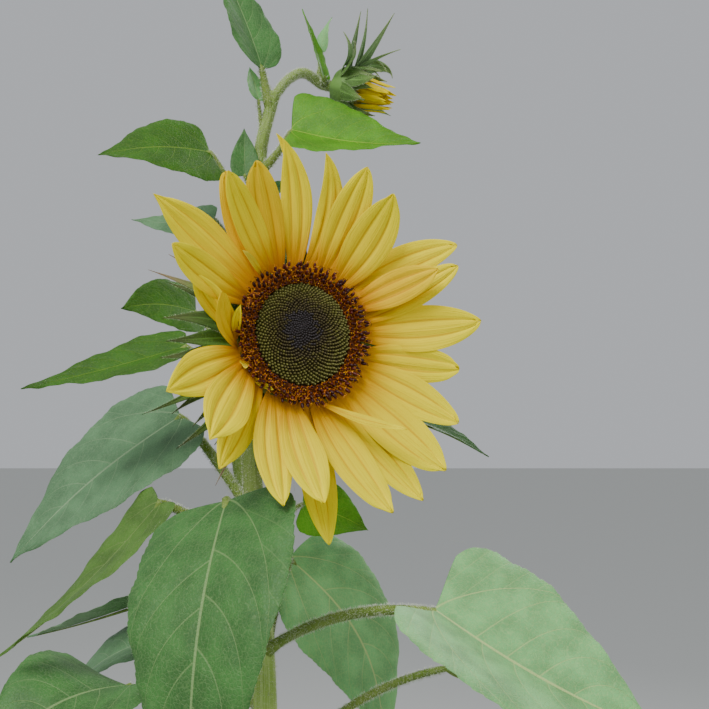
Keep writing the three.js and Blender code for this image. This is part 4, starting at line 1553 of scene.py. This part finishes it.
class SUNFLOWER_OT_disc(bpy.types.Operator):
    """Grow the disc's closed florets"""

    bl_idname = "sunflower.disc"
    bl_label = "Grow Disc"

    def execute(self, context):
        disc_pieces(context.scene.sunflower)
        return {"FINISHED"}


class SUNFLOWER_OT_ring(bpy.types.Operator):
    """Grow the ring of open florets with their dark anthers"""

    bl_idname = "sunflower.ring"
    bl_label = "Grow Anther Ring"

    def execute(self, context):
        ring_pieces(context.scene.sunflower)
        return {"FINISHED"}


class SUNFLOWER_OT_back(bpy.types.Operator):
    """Grow the head's back and its bracts"""

    bl_idname = "sunflower.back"
    bl_label = "Grow Head Back"

    def execute(self, context):
        head_back_piece()
        return {"FINISHED"}


class SUNFLOWER_OT_bud(bpy.types.Operator):
    """Grow the half-open bud"""

    bl_idname = "sunflower.bud"
    bl_label = "Grow Bud"

    def execute(self, context):
        bud_pieces()
        return {"FINISHED"}


class SUNFLOWER_OT_hairs(bpy.types.Operator):
    """Join the hairs that the other steps gathered"""

    bl_idname = "sunflower.hairs"
    bl_label = "Grow Hairs"

    def execute(self, context):
        hair_pieces(context.scene.sunflower)
        return {"FINISHED"}


class SUNFLOWER_OT_stage(bpy.types.Operator):
    """Set the floor, the lights and the camera"""

    bl_idname = "sunflower.stage"
    bl_label = "Set Stage"

    def execute(self, context):
        stage_pieces()
        return {"FINISHED"}


STEPS = (
    SUNFLOWER_OT_stems,
    SUNFLOWER_OT_leaves,
    SUNFLOWER_OT_rays,
    SUNFLOWER_OT_disc,
    SUNFLOWER_OT_ring,
    SUNFLOWER_OT_back,
    SUNFLOWER_OT_bud,
    SUNFLOWER_OT_hairs,
    SUNFLOWER_OT_stage,
)


class SUNFLOWER_PT_panel(bpy.types.Panel):
    """The plant's steps, in order"""

    bl_label = "Sunflower"
    bl_space_type = "VIEW_3D"
    bl_region_type = "UI"
    bl_category = "Sunflower"

    def draw(self, context):
        for key in SunflowerLook.__annotations__:
            self.layout.prop(context.scene.sunflower, key)
        for step in STEPS:
            self.layout.operator(step.bl_idname)


CLASSES = (SunflowerLook, *STEPS, SUNFLOWER_PT_panel)


def register():
    for each in CLASSES:
        bpy.utils.register_class(each)
    bpy.types.Scene.sunflower = PointerProperty(type=SunflowerLook)


def unregister():
    del bpy.types.Scene.sunflower
    for each in reversed(CLASSES):
        bpy.utils.unregister_class(each)


def main():
    register()
    for step in STEPS:
        getattr(bpy.ops.sunflower, step.bl_idname.split(".")[1])()
    boxes = {"frame": CAD_BOX, "visual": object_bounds()}
    plain_boxes = {key: [[float(part) for part in corner] for corner in box] for key, box in boxes.items()}


if __name__ == "__main__":
    main()
